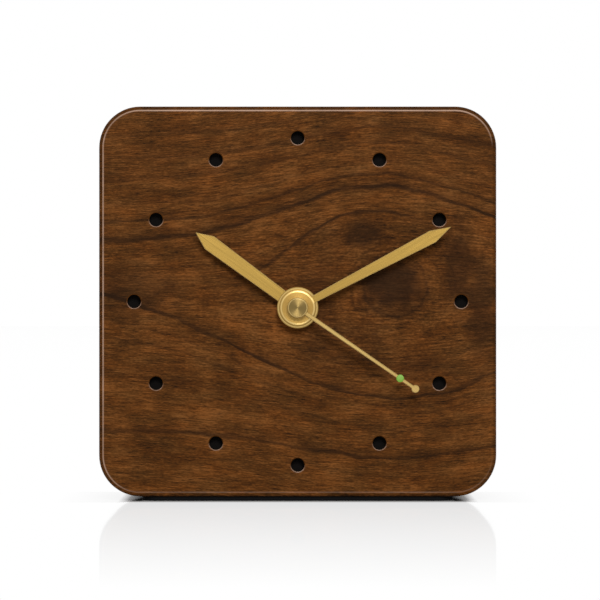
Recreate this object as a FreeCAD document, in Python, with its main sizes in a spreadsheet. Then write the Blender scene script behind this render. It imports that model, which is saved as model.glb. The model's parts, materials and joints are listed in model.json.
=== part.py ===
"""Square wooden desk clock: a routed block of walnut, a plug-in quartz movement and three brass hands.

Frame: millimetres, +X to the right and +Z up as the dial is read, +Y to the back of the clock.
The origin is the bottom centre of the whole clock's bounding box.
Every sub-part is drawn about the hand arbor, with y = 0 on the face of the dial, and then placed.
"""
import FreeCAD, Part
import Sketcher
import math
import os
import re

SIZES = [
    # wooden block
    ("case_width", 101.6, "block, left to right: four inches"),
    ("case_height", 99.7, "block, bottom to top"),
    ("case_depth", 38.1, "block, front to back: an inch and a half"),
    ("corner_radius", 10.5, "rounded corners of the dial's outline"),
    ("edge_round", 1.3, "round-over of the front and back edges"),
    ("face_wall", 8.0, "wood left between the dial and the routed pocket"),
    ("pocket_gap", 2.0, "movement to the side of the pocket"),
    ("pocket_corner", 8.0, "cutter radius in the pocket's corners"),
    ("stem_gap", 0.15, "threaded barrel to its hole in the wood"),
    # hour marks
    ("hour_marks", 12, "drilled hour marks"),
    ("ring_radius", 41.8, "circle of the hour marks"),
    ("mark_diameter", 3.5, "drill of the hour marks"),
    ("mark_depth", 3.0, "full-width depth of the hour marks"),
    ("mark_rim", 0.25, "broken edge of the hour marks"),
    ("drill_slope", 31.0, "degrees from flat of the drill's point"),
    ("arbor_drop", 1.6, "hand arbor below the centre of the hour marks"),
    # pad under the block
    ("pad_width", 80.0, "rubber pad, left to right"),
    ("pad_depth", 35.0, "rubber pad, front to back"),
    ("pad_thickness", 1.2, "rubber pad, bottom to top"),
    ("pad_corner", 4.0, "rounded corners of the rubber pad"),
    # quartz movement
    ("movement_corner", 3.0, "rounded corners of the movement"),
    ("movement_wall", 1.2, "side walls of the movement"),
    ("front_wall", 1.4, "front wall of the movement"),
    ("divider_wall", 1.0, "wall between the battery bay and the wheels"),
    ("train_below", 10.8, "arbor to the dividing wall under the wheels"),
    ("cover_thickness", 1.2, "back cover of the movement"),
    ("cover_ledge", 0.6, "ledge that the back cover sits on"),
    ("cover_gap", 0.1, "back cover to the walls around it"),
    ("latch_width", 5.0, "spring latches of the back cover"),
    ("latch_thickness", 0.9, "spring latches of the back cover"),
    ("latch_length", 4.4, "spring latches of the back cover"),
    ("latch_height", 18.0, "upper pair of latches above the arbor"),
    ("latch_catch", 0.6, "catch on each latch, proud of it"),
    # stem
    ("washer_thickness", 1.0, "rubber washer behind the wood"),
    ("washer_diameter", 20.0, "rubber washer"),
    ("thread_diameter", 7.9, "threaded barrel, over its thread"),
    ("barrel_chamfer", 0.4, "lead-in at the barrel's front end"),
    ("flange_diameter", 12.0, "flange of the barrel, let into the movement"),
    ("flange_thickness", 0.7, "flange of the barrel"),
    ("sleeve_diameter", 7.0, "plain end of the barrel inside the movement's wall"),
    ("nut_diameter", 10.2, "slotted round nut"),
    ("nut_thickness", 2.0, "slotted round nut"),
    ("nut_slot", 1.2, "spanner slots of the nut"),
    ("barrel_proud", 0.4, "barrel in front of the nut"),
    # hands
    ("hub_gap", 0.4, "space between one hand's boss and the next"),
    ("hour_boss", 10.5, "boss of the hour hand"),
    ("hour_boss_thick", 1.2, "boss of the hour hand"),
    ("minute_boss", 9.2, "boss of the minute hand"),
    ("minute_boss_thick", 1.0, "boss of the minute hand"),
    ("boss_bevel", 0.35, "bevelled rim of each boss"),
    ("blade_thickness", 0.4, "blades of the hour and minute hands"),
    ("hour_reach", 32.3, "arbor to the tip of the hour hand"),
    ("hour_point", 4.4, "pointed end of the hour hand"),
    ("hour_broad", 4.0, "widest part of the hour hand"),
    ("hour_narrow", 3.2, "hour hand where it leaves its boss"),
    ("hour_bearing", 306.4, "degrees, hour hand clockwise from twelve"),
    ("minute_reach", 44.1, "arbor to the tip of the minute hand"),
    ("minute_point", 5.3, "pointed end of the minute hand"),
    ("minute_broad", 3.3, "widest part of the minute hand"),
    ("minute_narrow", 1.8, "minute hand where it leaves its boss"),
    ("minute_bearing", 62.2, "degrees, minute hand clockwise from twelve"),
    ("seconds_thick", 0.3, "seconds hand"),
    ("seconds_reach", 36.3, "arbor to the centre of the seconds hand's end disc"),
    ("seconds_disc", 2.0, "end disc of the seconds hand"),
    ("seconds_broad", 1.05, "seconds hand where it leaves its boss"),
    ("seconds_narrow", 0.8, "seconds hand at its end disc"),
    ("seconds_boss", 4.4, "boss of the seconds hand, under the cap"),
    ("seconds_bearing", 124.6, "degrees, seconds hand clockwise from twelve"),
    ("cap_diameter", 5.1, "turned cap over the seconds hand's boss"),
    ("cap_height", 2.2, "turned cap"),
    ("cap_bevel", 0.4, "bevelled rim of the cap"),
    ("lume_reach", 31.6, "arbor to the centre of the luminous dot"),
    ("lume_diameter", 1.95, "luminous dot"),
    ("lume_thickness", 0.25, "luminous dot"),
    # arbors and fits
    ("hour_tube", 5.0, "outside of the hour wheel's tube"),
    ("minute_tube", 3.2, "outside of the minute arbor"),
    ("seconds_arbor", 1.0, "seconds arbor"),
    ("clutch_seat", 2.5, "rear seat of the minute arbor, for the centre wheel"),
    ("arbor_diameter", 1.2, "arbors of the small wheels"),
    ("pivot_diameter", 0.7, "pivots at the ends of the arbors"),
    ("pivot_length", 0.8, "pivots inside their bearings"),
    ("boss_diameter", 1.7, "bearing bosses of the movement's front wall"),
    ("running_gap", 0.08, "shaft to bearing, all round"),
    ("press_gap", 0.01, "pressed or glued pieces, all round"),
    # wheel train
    ("layer_gap", 0.5, "space between one layer of wheels and the next"),
    ("pinion_overrun", 0.2, "pinion past each side of the wheel it drives"),
    ("motion_width", 1.0, "teeth of the wheels behind the hour and minute hands"),
    ("wheel_width", 0.6, "teeth of the wheels of the train"),
    ("motion_spacing", 9.6, "arbor to the motion wheel, and on to the setting arbor"),
    ("motion_dip", 0.0, "degrees, motion wheel below three o'clock"),
    ("setting_dip", 20.0, "degrees, setting arbor below the level of the motion wheel"),
    ("wheel_room", 0.85, "seconds wheel's teeth to the dividing wall"),
    ("arbor_room", 0.4, "seconds wheel's teeth to the third arbor"),
    ("third_rise", 15.0, "degrees, third wheel above nine o'clock"),
    ("fifth_bearing", 0.0, "degrees, fifth wheel clockwise from twelve"),
    ("rotor_spacing", 7.2, "fifth wheel to the rotor"),
    ("rotor_bearing", 50.0, "degrees, rotor seen from the fifth wheel"),
    ("cannon_teeth", 12, "cannon pinion on the minute arbor"),
    ("motion_teeth", 36, "motion wheel, driven by the cannon pinion"),
    ("motion_leaves", 10, "pinion of the motion wheel"),
    ("hour_teeth", 40, "hour wheel"),
    ("setting_teeth", 12, "pinion of the setting arbor"),
    ("centre_teeth", 64, "centre wheel, one turn an hour"),
    ("third_leaves", 8, "pinion of the third wheel"),
    ("third_teeth", 60, "third wheel"),
    ("seconds_leaves", 8, "pinion of the seconds wheel"),
    ("seconds_teeth", 60, "seconds wheel, one turn a minute"),
    ("fifth_leaves", 10, "pinion of the fifth wheel"),
    ("fifth_teeth", 40, "fifth wheel"),
    ("rotor_leaves", 8, "pinion of the rotor"),
    # train plate and its pillars
    ("plate_thickness", 1.0, "train plate"),
    ("plate_corner", 2.0, "rounded corners of the train plate"),
    ("plate_edge_room", 0.4, "train plate to the dividing wall and the setting arbor"),
    ("plate_side_room", 3.8, "train plate to the left wall"),
    ("plate_margin", 3.0, "train plate above the rotor"),
    ("pillar_inset", 1.7, "pillar's axis from the edges of the train plate"),
    ("pillar_diameter", 2.8, "pillars under the train plate"),
    ("stake_diameter", 1.2, "staked pins on the pillars and posts"),
    ("stake_proud", 0.4, "staked pins behind what they hold"),
    # motor
    ("magnet_diameter", 3.6, "magnet of the rotor"),
    ("magnet_length", 1.4, "magnet of the rotor"),
    ("magnet_gap", 0.35, "magnet to the stator around it"),
    ("stator_thickness", 0.8, "stator plate"),
    ("stator_height", 6.4, "stator plate around the rotor"),
    ("stator_leg", 2.8, "legs of the stator"),
    ("stator_span", 19.8, "stator, over its two legs"),
    ("coil_diameter", 5.6, "wire wound on the coil"),
    ("coil_flange", 6.3, "flanges of the coil's bobbin"),
    ("coil_flange_thick", 0.6, "flanges of the coil's bobbin"),
    ("coil_gap", 0.3, "bobbin to the stator around it"),
    ("coil_room", 1.05, "bobbin to the top wall of the movement"),
    ("bobbin_barrel", 3.8, "barrel of the bobbin under the wire"),
    ("core_height", 2.4, "iron core through the coil"),
    ("core_thickness", 1.0, "iron core through the coil"),
    # circuit
    ("board_width", 7.2, "circuit board, left to right"),
    ("board_height", 21.0, "circuit board, bottom to top"),
    ("board_thickness", 0.8, "circuit board"),
    ("board_room", 1.6, "circuit board to the right wall"),
    ("board_up", 13.5, "middle of the circuit board, above the arbor"),
    ("board_level", 7.6, "circuit board behind the inside of the front wall"),
    ("board_post", 2.2, "posts under the circuit board"),
    ("board_post_inset", 2.0, "posts from the board's ends"),
    ("chip_diameter", 5.0, "sealed chip on the board"),
    ("chip_height", 1.1, "sealed chip on the board"),
    ("crystal_diameter", 2.0, "quartz crystal's can"),
    ("crystal_length", 6.0, "quartz crystal's can"),
    # battery and its contacts
    ("battery_diameter", 14.2, "AA cell"),
    ("battery_length", 50.5, "AA cell, over its raised end"),
    ("battery_nub", 5.4, "raised end of the cell"),
    ("battery_nub_height", 1.1, "raised end of the cell"),
    ("battery_gap", 0.4, "cell to its bay, all round"),
    ("contact_thickness", 0.4, "spring strip of the contacts"),
    ("contact_width", 6.0, "spring strip of the contacts"),
    ("contact_gap", 0.1, "cell to each contact"),
    ("spring_room", 2.5, "bowed contact between the left wall and the cell"),
    ("contact_rise", 5.2, "tails of the contacts above the dividing wall"),
    ("finger_notch", 16.0, "notch in the bay's outer wall for lifting the cell out"),
    # setting knob
    ("setting_shaft", 2.4, "setting arbor"),
    ("knob_diameter", 12.0, "setting knob"),
    ("knob_thickness", 3.4, "setting knob"),
    ("knob_gap", 0.4, "setting knob to the back cover"),
    ("knob_grooves", 24, "finger grooves of the knob"),
    ("groove_diameter", 1.0, "finger grooves of the knob"),
]

# Proportions of the wheels' teeth, as shares of the module or of the tooth pitch.
TOOTH_TIP = 0.85
TOOTH_ROOT = 1.15
GAP_SHARE = 0.62
FLANK_SLOPE = math.tan(math.radians(22.0))

# Sizes and places that follow from the ones above, all in the arbor's own frame.
WORKED = {
    # in front of the dial, measured forward from its face
    "barrel_front": "nut_thickness + barrel_proud",
    "hour_back": "barrel_front + hub_gap",
    "hour_front": "hour_back + hour_boss_thick",
    "minute_back": "hour_front + hub_gap",
    "minute_front": "minute_back + minute_boss_thick",
    "seconds_back": "minute_front + hub_gap",
    "seconds_front": "seconds_back + seconds_thick",
    "cap_front": "seconds_front + cap_height",
    # the arbor's place in the clock's frame
    "face_y": "(cap_front - case_depth) / 2",
    "arbor_z": "pad_thickness + case_height / 2 - arbor_drop",
    # behind the dial, measured back from its face
    "seat": "face_wall + washer_thickness",
    "inside": "seat + front_wall",
    "movement_depth": "front_wall + battery_gap + battery_diameter",
    "rear": "seat + movement_depth",
    "hour_level": "inside + layer_gap",
    "motion_level": "hour_level + motion_width + layer_gap",
    "centre_level": "motion_level + motion_width + layer_gap",
    "fifth_level": "centre_level + wheel_width + layer_gap",
    "third_level": "fifth_level + wheel_width + layer_gap",
    "stator_level": "third_level + wheel_width + layer_gap",
    "seconds_level": "stator_level + stator_thickness + layer_gap",
    "plate_level": "seconds_level + wheel_width + layer_gap",
    "core_level": "stator_level - core_thickness",
    "coil_level": "stator_level - core_thickness / 2",
    "board_front": "inside + board_level",
    "board_back": "board_front + board_thickness",
    "cover_level": "rear - cover_thickness",
    "knob_front": "rear + knob_gap",
    # the movement's inside, and the box around it
    "half_inside": "(battery_length + 2 * contact_gap + contact_thickness + spring_room) / 2",
    "movement_width": "2 * (half_inside + movement_wall)",
    "train_floor": "-train_below",
    "bay_height": "battery_diameter + 2 * battery_gap",
    "bay_roof": "train_floor - divider_wall",
    "bay_floor": "bay_roof - bay_height",
    "roof": "coil_z + coil_flange / 2 + coil_room",
    "movement_height": "roof - bay_floor + 2 * movement_wall",
    "movement_up": "(roof + bay_floor) / 2",
    "pocket_width": "movement_width + 2 * pocket_gap",
    "pocket_height": "movement_height + 2 * pocket_gap",
    "battery_up": "bay_floor + bay_height / 2",
    "battery_back": "inside + battery_gap + battery_diameter / 2",
    "battery_across": "half_inside - contact_thickness - contact_gap - battery_length / 2",
    # the wheels: the seconds wheel fills the room under the arbor, and the others follow it
    "seconds_tip": "train_below - wheel_room",
    "fifth_spacing": f"seconds_tip * (seconds_teeth + fifth_leaves) / (seconds_teeth + {2 * TOOTH_TIP})",
    "third_spacing": "seconds_tip + arbor_diameter / 2 + arbor_room",
    "motion_bearing": "90 + motion_dip",
    "setting_bearing": "90 + setting_dip",
    "third_bearing": "270 + third_rise",
    # centres of the wheels, right of the arbor and above it
    "motion_x": "motion_spacing * sin(motion_bearing * 1 deg)",
    "motion_z": "motion_spacing * cos(motion_bearing * 1 deg)",
    "setting_x": "motion_x + motion_spacing * sin(setting_bearing * 1 deg)",
    "setting_z": "motion_z + motion_spacing * cos(setting_bearing * 1 deg)",
    "third_x": "third_spacing * sin(third_bearing * 1 deg)",
    "third_z": "third_spacing * cos(third_bearing * 1 deg)",
    "fifth_x": "fifth_spacing * sin(fifth_bearing * 1 deg)",
    "fifth_z": "fifth_spacing * cos(fifth_bearing * 1 deg)",
    "rotor_x": "fifth_x + rotor_spacing * sin(rotor_bearing * 1 deg)",
    "rotor_z": "fifth_z + rotor_spacing * cos(rotor_bearing * 1 deg)",
    "coil_rise": "(stator_height + coil_flange) / 2 + coil_gap",
    "coil_z": "rotor_z + coil_rise",
    "leg_reach": "(stator_span - stator_leg) / 2",
    "bobbin_length": "stator_span - 2 * stator_leg - 2 * coil_gap",
    "post_diameter": "arbor_diameter",
    # train plate and circuit board
    "plate_left": "plate_side_room - half_inside",
    "plate_right": "setting_x - setting_shaft / 2 - plate_edge_room",
    "plate_low": "train_floor + plate_edge_room",
    "plate_high": "rotor_z + plate_margin",
    "board_across": "half_inside - board_room - board_width / 2",
}

# A cut runs this far past the face where it starts or ends, in mm.
OVERRUN = 1.0

doc = FreeCAD.newDocument("desk_clock")
sheet = doc.addObject("Spreadsheet::Sheet", "Sizes")
for row, (alias, number, meaning) in enumerate(SIZES, start=1):
    sheet.set(f"A{row}", meaning)
    sheet.set(f"B{row}", str(number))
    sheet.setAlias(f"B{row}", alias)
doc.recompute()
ALIASES = {alias for alias, number, meaning in SIZES}


# ---------------------------------------------------------------- helpers

def full(text):
    """Write out an expression: worked sizes in brackets, sheet cells with the sheet's name."""
    def swap(match):
        word = match.group()
        if word in WORKED:
            return f"({full(WORKED[word])})"
        return f"Sizes.{word}" if word in ALIASES else word
    return re.sub(r"[A-Za-z_]\w*", swap, str(text))


def value(text):
    """The number that an expression has now."""
    return float(sheet.evalExpression(full(text)))


def bind(thing, name, text):
    """Tie one property of an object to an expression."""
    thing.setExpression(name, full(text))


def new_body(label, across="0", up="0", turn=None):
    """A body whose own origin lies on the dial's face plane, measured from the hand arbor."""
    body = doc.addObject("PartDesign::Body", label)
    body.Label = label
    if turn:
        clockwise = FreeCAD.Rotation(FreeCAD.Vector(0, 1, 0), value(turn))
        body.Placement = FreeCAD.Placement(FreeCAD.Vector(), clockwise)
        bind(body, "Placement.Rotation.Angle", f"({turn}) * 1 deg")
    bind(body, "Placement.Base.x", across)
    bind(body, "Placement.Base.y", "face_y")
    bind(body, "Placement.Base.z", f"arbor_z + {up}")
    return body


def origin(body, role):
    """One of the body's own origin planes or axes."""
    return next(item for item in body.Origin.OriginFeatures if item.Role == role)


def new_sketch(body, plane, start, turn=None):
    """A sketch on an origin plane, moved to its start along +X, +Y or +Z.

    On XZ_Plane the sketch reads as from the front; on YZ_Plane it runs back and up, and on
    XY_Plane right and back. A turn is clockwise as seen from the front.
    """
    sketch = body.newObject("Sketcher::SketchObject", "Sketch")
    sketch.AttachmentSupport = [(origin(body, plane), "")]
    sketch.MapMode = "FlatFace"
    sign = "-" if plane == "XZ_Plane" else ""
    bind(sketch, "AttachmentOffset.Base.z", f"{sign}({start})")
    if turn:
        bind(sketch, "AttachmentOffset.Rotation.Angle", f"-({turn}) * 1 deg")
    return sketch


def measure(sketch, kind, text, *targets):
    """Add a dimension to a sketch and tie it to an expression."""
    index = sketch.addConstraint(Sketcher.Constraint(kind, *targets, value(text)))
    name = f"{kind}_{index}"
    sketch.renameConstraint(index, name)
    bind(sketch, f"Constraints.{name}", text)


def pin_point(sketch, curve, point, place):
    """Hold a point of a sketch at a pair of expressions, from the sketch's origin."""
    for kind, text in zip(("DistanceX", "DistanceY"), place):
        measure(sketch, kind, text, -1, 1, curve, point)


def circle(sketch, diameter, across="0", up="0"):
    centre = FreeCAD.Vector(value(across), value(up), 0)
    ring = Part.Circle(centre, FreeCAD.Vector(0, 0, 1), value(f"({diameter}) / 2"))
    curve = sketch.addGeometry(ring)
    pin_point(sketch, curve, 3, (across, up))
    measure(sketch, "Radius", f"({diameter}) / 2", curve)


def polygon(sketch, places):
    """Join points, each a pair of expressions, with straight lines and close the outline."""
    points = [FreeCAD.Vector(value(across), value(up), 0) for across, up in places]
    first = sketch.GeometryCount
    count = len(points)
    for index in range(count):
        sketch.addGeometry(Part.LineSegment(points[index], points[(index + 1) % count]))
    for index in range(count):
        ends = (first + index, 2, first + (index + 1) % count, 1)
        sketch.addConstraint(Sketcher.Constraint("Coincident", *ends))
        pin_point(sketch, first + index, 1, places[index])


def box_outline(sketch, low_x, low_y, high_x, high_y):
    """A rectangle between two corners."""
    polygon(sketch, [(low_x, low_y), (high_x, low_y), (high_x, high_y), (low_x, high_y)])


def rounded_outline(sketch, width, height, radius, across="0", up="0"):
    """A rectangle about a centre, its corners rounded with tangent arcs."""
    signs = [(1, 1), (-1, 1), (-1, -1), (1, -1)]
    places = []
    for right, high in signs:
        x_text = f"{across} + {right} * (({width}) / 2 - ({radius}))"
        y_text = f"{up} + {high} * (({height}) / 2 - ({radius}))"
        places.append((x_text, y_text))
    reach = value(radius)
    arcs = []
    for quarter, place in enumerate(places):
        centre = FreeCAD.Vector(value(place[0]), value(place[1]), 0)
        ring = Part.Circle(centre, FreeCAD.Vector(0, 0, 1), reach)
        start = quarter * math.pi / 2
        arcs.append(sketch.addGeometry(Part.ArcOfCircle(ring, start, start + math.pi / 2)))
    lines = []
    for quarter, arc in enumerate(arcs):
        follower = arcs[(quarter + 1) % 4]
        ends = (sketch.getPoint(arc, 2), sketch.getPoint(follower, 1))
        lines.append(sketch.addGeometry(Part.LineSegment(*ends)))
    for quarter, arc in enumerate(arcs):
        follower = arcs[(quarter + 1) % 4]
        sketch.addConstraint(Sketcher.Constraint("Tangent", arc, 2, lines[quarter], 1))
        sketch.addConstraint(Sketcher.Constraint("Tangent", lines[quarter], 2, follower, 1))
        pin_point(sketch, arc, 3, places[quarter])
        measure(sketch, "Radius", radius, arc)


def extrude(body, kind, sketch, length, forward=False, middle=False):
    """Pad or pocket a sketch, away from the dial unless it is to go forward."""
    feature = body.newObject(f"PartDesign::{kind}", kind)
    feature.Profile = sketch
    bind(feature, "Length", length)
    facing_front = sketch.AttachmentSupport[0][0].Role == "XZ_Plane"
    feature.Reversed = (kind == "Pad") == (facing_front != forward)
    if middle:
        feature.Midplane = True
        feature.Reversed = False
    doc.recompute()
    return feature


def pad(body, sketch, length, **options):
    return extrude(body, "Pad", sketch, length, **options)


def pocket(body, sketch, length, **options):
    return extrude(body, "Pocket", sketch, length, **options)


def turned(body, places, kind="Revolution", plane="YZ_Plane", start="0", up="0"):
    """Turn an outline of (along the axis, radius) points about the sketch's level axis."""
    sketch = new_sketch(body, plane, start)
    bind(sketch, "AttachmentOffset.Base.y", up)
    polygon(sketch, places)
    feature = body.newObject(f"PartDesign::{kind}", kind)
    feature.Profile = sketch
    feature.ReferenceAxis = (sketch, ["H_Axis"])
    feature.Angle = 360.0
    doc.recompute()
    return feature


def around(body, features, count):
    """Repeat features about the body's own front-to-back axis."""
    pattern = body.newObject("PartDesign::PolarPattern", "PolarPattern")
    pattern.Originals = features
    pattern.Axis = (origin(body, "Y_Axis"), [""])
    pattern.Angle = 360.0
    bind(pattern, "Occurrences", count)
    body.Tip = pattern
    doc.recompute()
    return pattern


def mirrored(body, features):
    """Repeat features on the other side of the body's own middle plane."""
    pattern = body.newObject("PartDesign::Mirrored", "Mirrored")
    pattern.Originals = features
    pattern.MirrorPlane = (origin(body, "YZ_Plane"), [""])
    body.Tip = pattern
    doc.recompute()
    return pattern


def soften(body, feature, radius, wanted, kind="Fillet"):
    """Round or bevel the edges of a feature whose middle point is wanted."""
    names = []
    for index, edge in enumerate(feature.Shape.Edges, start=1):
        middle = edge.valueAt((edge.FirstParameter + edge.LastParameter) / 2)
        if wanted(edge, middle):
            names.append(f"Edge{index}")
    softened = body.newObject(f"PartDesign::{kind}", kind)
    softened.Base = (feature, names)
    bind(softened, "Radius" if kind == "Fillet" else "Size", radius)
    doc.recompute()
    return softened


def toothed_rim(body, teeth, mate, spacing, start, width, facing):
    """A disc with straight-flanked teeth, one gap of which faces a bearing in degrees."""
    module = f"(2 * ({spacing}) / ({teeth} + {mate}))"
    pitch = f"({module} * {teeth} / 2)"
    tip = f"({pitch} + {TOOTH_TIP} * {module})"
    root = f"({pitch} - {TOOTH_ROOT} * {module})"
    half_gap = f"({GAP_SHARE} * pi * {module} / 2)"
    outer = f"({tip} + {module} / 2)"
    disc = new_sketch(body, "XZ_Plane", start)
    circle(disc, f"2 * {tip}")
    pad(body, disc, width)
    gap = new_sketch(body, "XZ_Plane", start, turn=facing)
    half_root = f"({half_gap} - {FLANK_SLOPE} * {TOOTH_ROOT} * {module})"
    half_outer = f"({half_gap} + {FLANK_SLOPE} * ({outer} - {pitch}))"
    places = [(f"-{half_root}", root), (half_root, root), (half_outer, outer), (f"-{half_outer}", outer)]
    polygon(gap, places)
    cut = pocket(body, gap, width)
    around(body, [cut], teeth)


def running_arbor(body, front, back):
    """A thin arbor with a pivot at each end, between two bearing faces."""
    thick, thin = "arbor_diameter / 2", "pivot_diameter / 2"
    turned(body, [
        (f"{front} - pivot_length", "0"), (f"{front} - pivot_length", thin),
        (f"{front} + running_gap", thin), (f"{front} + running_gap", thick),
        (f"{back} - running_gap", thick), (f"{back} - running_gap", thin),
        (f"{back} + pivot_length", thin), (f"{back} + pivot_length", "0"),
    ])


def bore(body, diameter, start, length, across="0", up="0"):
    """A round hole along the front-to-back axis."""
    hole = new_sketch(body, "XZ_Plane", start)
    circle(hole, diameter, across, up)
    return pocket(body, hole, length)


def tooth_facing(bearing, teeth):
    """Bearing that turns a gap away by half a pitch, so that a tooth faces the mate."""
    return f"{bearing} + 180 / {teeth}"


# ---------------------------------------------------------------- wooden block and pad

def wooden_case():
    body = new_body("wooden_case", up="arbor_drop")
    block = new_sketch(body, "XZ_Plane", "0")
    rounded_outline(block, "case_width", "case_height", "corner_radius")
    solid = pad(body, block, "case_depth")
    back = value("case_depth")
    soften(body, solid, "edge_round", lambda edge, middle: middle.y < 0.01 or middle.y > back - 0.01)
    recess = new_sketch(body, "XZ_Plane", "case_depth")
    rounded_outline(recess, "pocket_width", "pocket_height", "pocket_corner",
                    up="movement_up - arbor_drop")
    pocket(body, recess, "case_depth - face_wall", forward=True)
    bore(body, "thread_diameter + 2 * stem_gap", "0", "face_wall", up="-arbor_drop")
    radius = "mark_diameter / 2"
    point = f"mark_depth + {radius} * tan(drill_slope * 1 deg)"
    mark = turned(body, [
        ("-mark_rim", "0"), ("-mark_rim", f"{radius} + 2 * mark_rim"), ("mark_rim", radius),
        ("mark_depth", radius), (point, "0"),
    ], kind="Groove", up="ring_radius")
    around(body, [mark], "hour_marks")


def base_pad():
    body = new_body("base_pad", up="arbor_drop")
    outline = new_sketch(body, "XY_Plane", "-case_height / 2 - pad_thickness")
    rounded_outline(outline, "pad_width", "pad_depth", "pad_corner", up="case_depth / 2")
    pad(body, outline, "pad_thickness")


# ---------------------------------------------------------------- stem and its fixings

def rubber_washer():
    body = new_body("rubber_washer")
    inner, outer = "thread_diameter / 2 + stem_gap", "washer_diameter / 2"
    turned(body, [("face_wall", inner), ("face_wall", outer), ("seat", outer), ("seat", inner)])


def threaded_bushing():
    body = new_body("threaded_bushing")
    inner = "hour_tube / 2 + running_gap"
    thread, flange = "thread_diameter / 2", "flange_diameter / 2"
    sleeve = "sleeve_diameter / 2"
    turned(body, [
        ("-barrel_front", inner), ("-barrel_front", f"{thread} - barrel_chamfer"),
        ("-barrel_front + barrel_chamfer", thread), ("seat", thread), ("seat", flange),
        ("seat + flange_thickness", flange), ("seat + flange_thickness", sleeve),
        ("inside", sleeve), ("inside", inner),
    ])


def mounting_nut():
    body = new_body("mounting_nut")
    inner, outer = "thread_diameter / 2 + press_gap", "nut_diameter / 2"
    turned(body, [
        ("0", inner), ("0", outer), ("-nut_thickness + barrel_chamfer", outer),
        ("-nut_thickness", f"{outer} - barrel_chamfer"), ("-nut_thickness", inner),
    ])
    slot = new_sketch(body, "XZ_Plane", "-nut_thickness")
    box_outline(slot, "-nut_slot / 2", "0", "nut_slot / 2", outer)
    cut = pocket(body, slot, "nut_thickness / 2")
    around(body, [cut], 4)


# ---------------------------------------------------------------- movement housing

def pillar_places():
    """Pillars at three corners of the train plate, and one below the stator's right leg."""
    left, right = "plate_left + pillar_inset", "plate_right - pillar_inset"
    low, high = "plate_low + pillar_inset", "plate_high - pillar_inset"
    under_leg = "rotor_z - stator_height / 2 - layer_gap - pillar_diameter / 2"
    return [(left, low), (right, low), (left, high), (right, under_leg)]


def coil_post_places():
    """The two posts under the ends of the coil's core."""
    return [(f"rotor_x + {side} * leg_reach", "coil_z") for side in (-1, 1)]


def board_post_places():
    """The two posts under the ends of the circuit board."""
    reach = "(board_height / 2 - board_post_inset)"
    return [("board_across", f"board_up + {side} * {reach}") for side in (-1, 1)]


def posts(body, places, diameter, top, held_to):
    """Round posts from the front wall, each with a staked pin through what it holds."""
    root = "inside - front_wall / 2"
    trunk = new_sketch(body, "XZ_Plane", root)
    stake = new_sketch(body, "XZ_Plane", root)
    for place in places:
        circle(trunk, diameter, *place)
        circle(stake, "stake_diameter", *place)
    pad(body, trunk, f"{top} - ({root})")
    pad(body, stake, f"{held_to} + stake_proud - ({root})")


def bearing_boss(body, place, top):
    """A small boss on the front wall with a blind hole for a pivot."""
    root = "inside - front_wall / 2"
    outline = new_sketch(body, "XZ_Plane", root)
    circle(outline, "boss_diameter", *place)
    pad(body, outline, f"{top} - ({root})")
    depth = "pivot_length + 2 * running_gap"
    bore(body, "pivot_diameter + 2 * running_gap", f"{top} - ({depth})", depth, *place)


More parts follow.
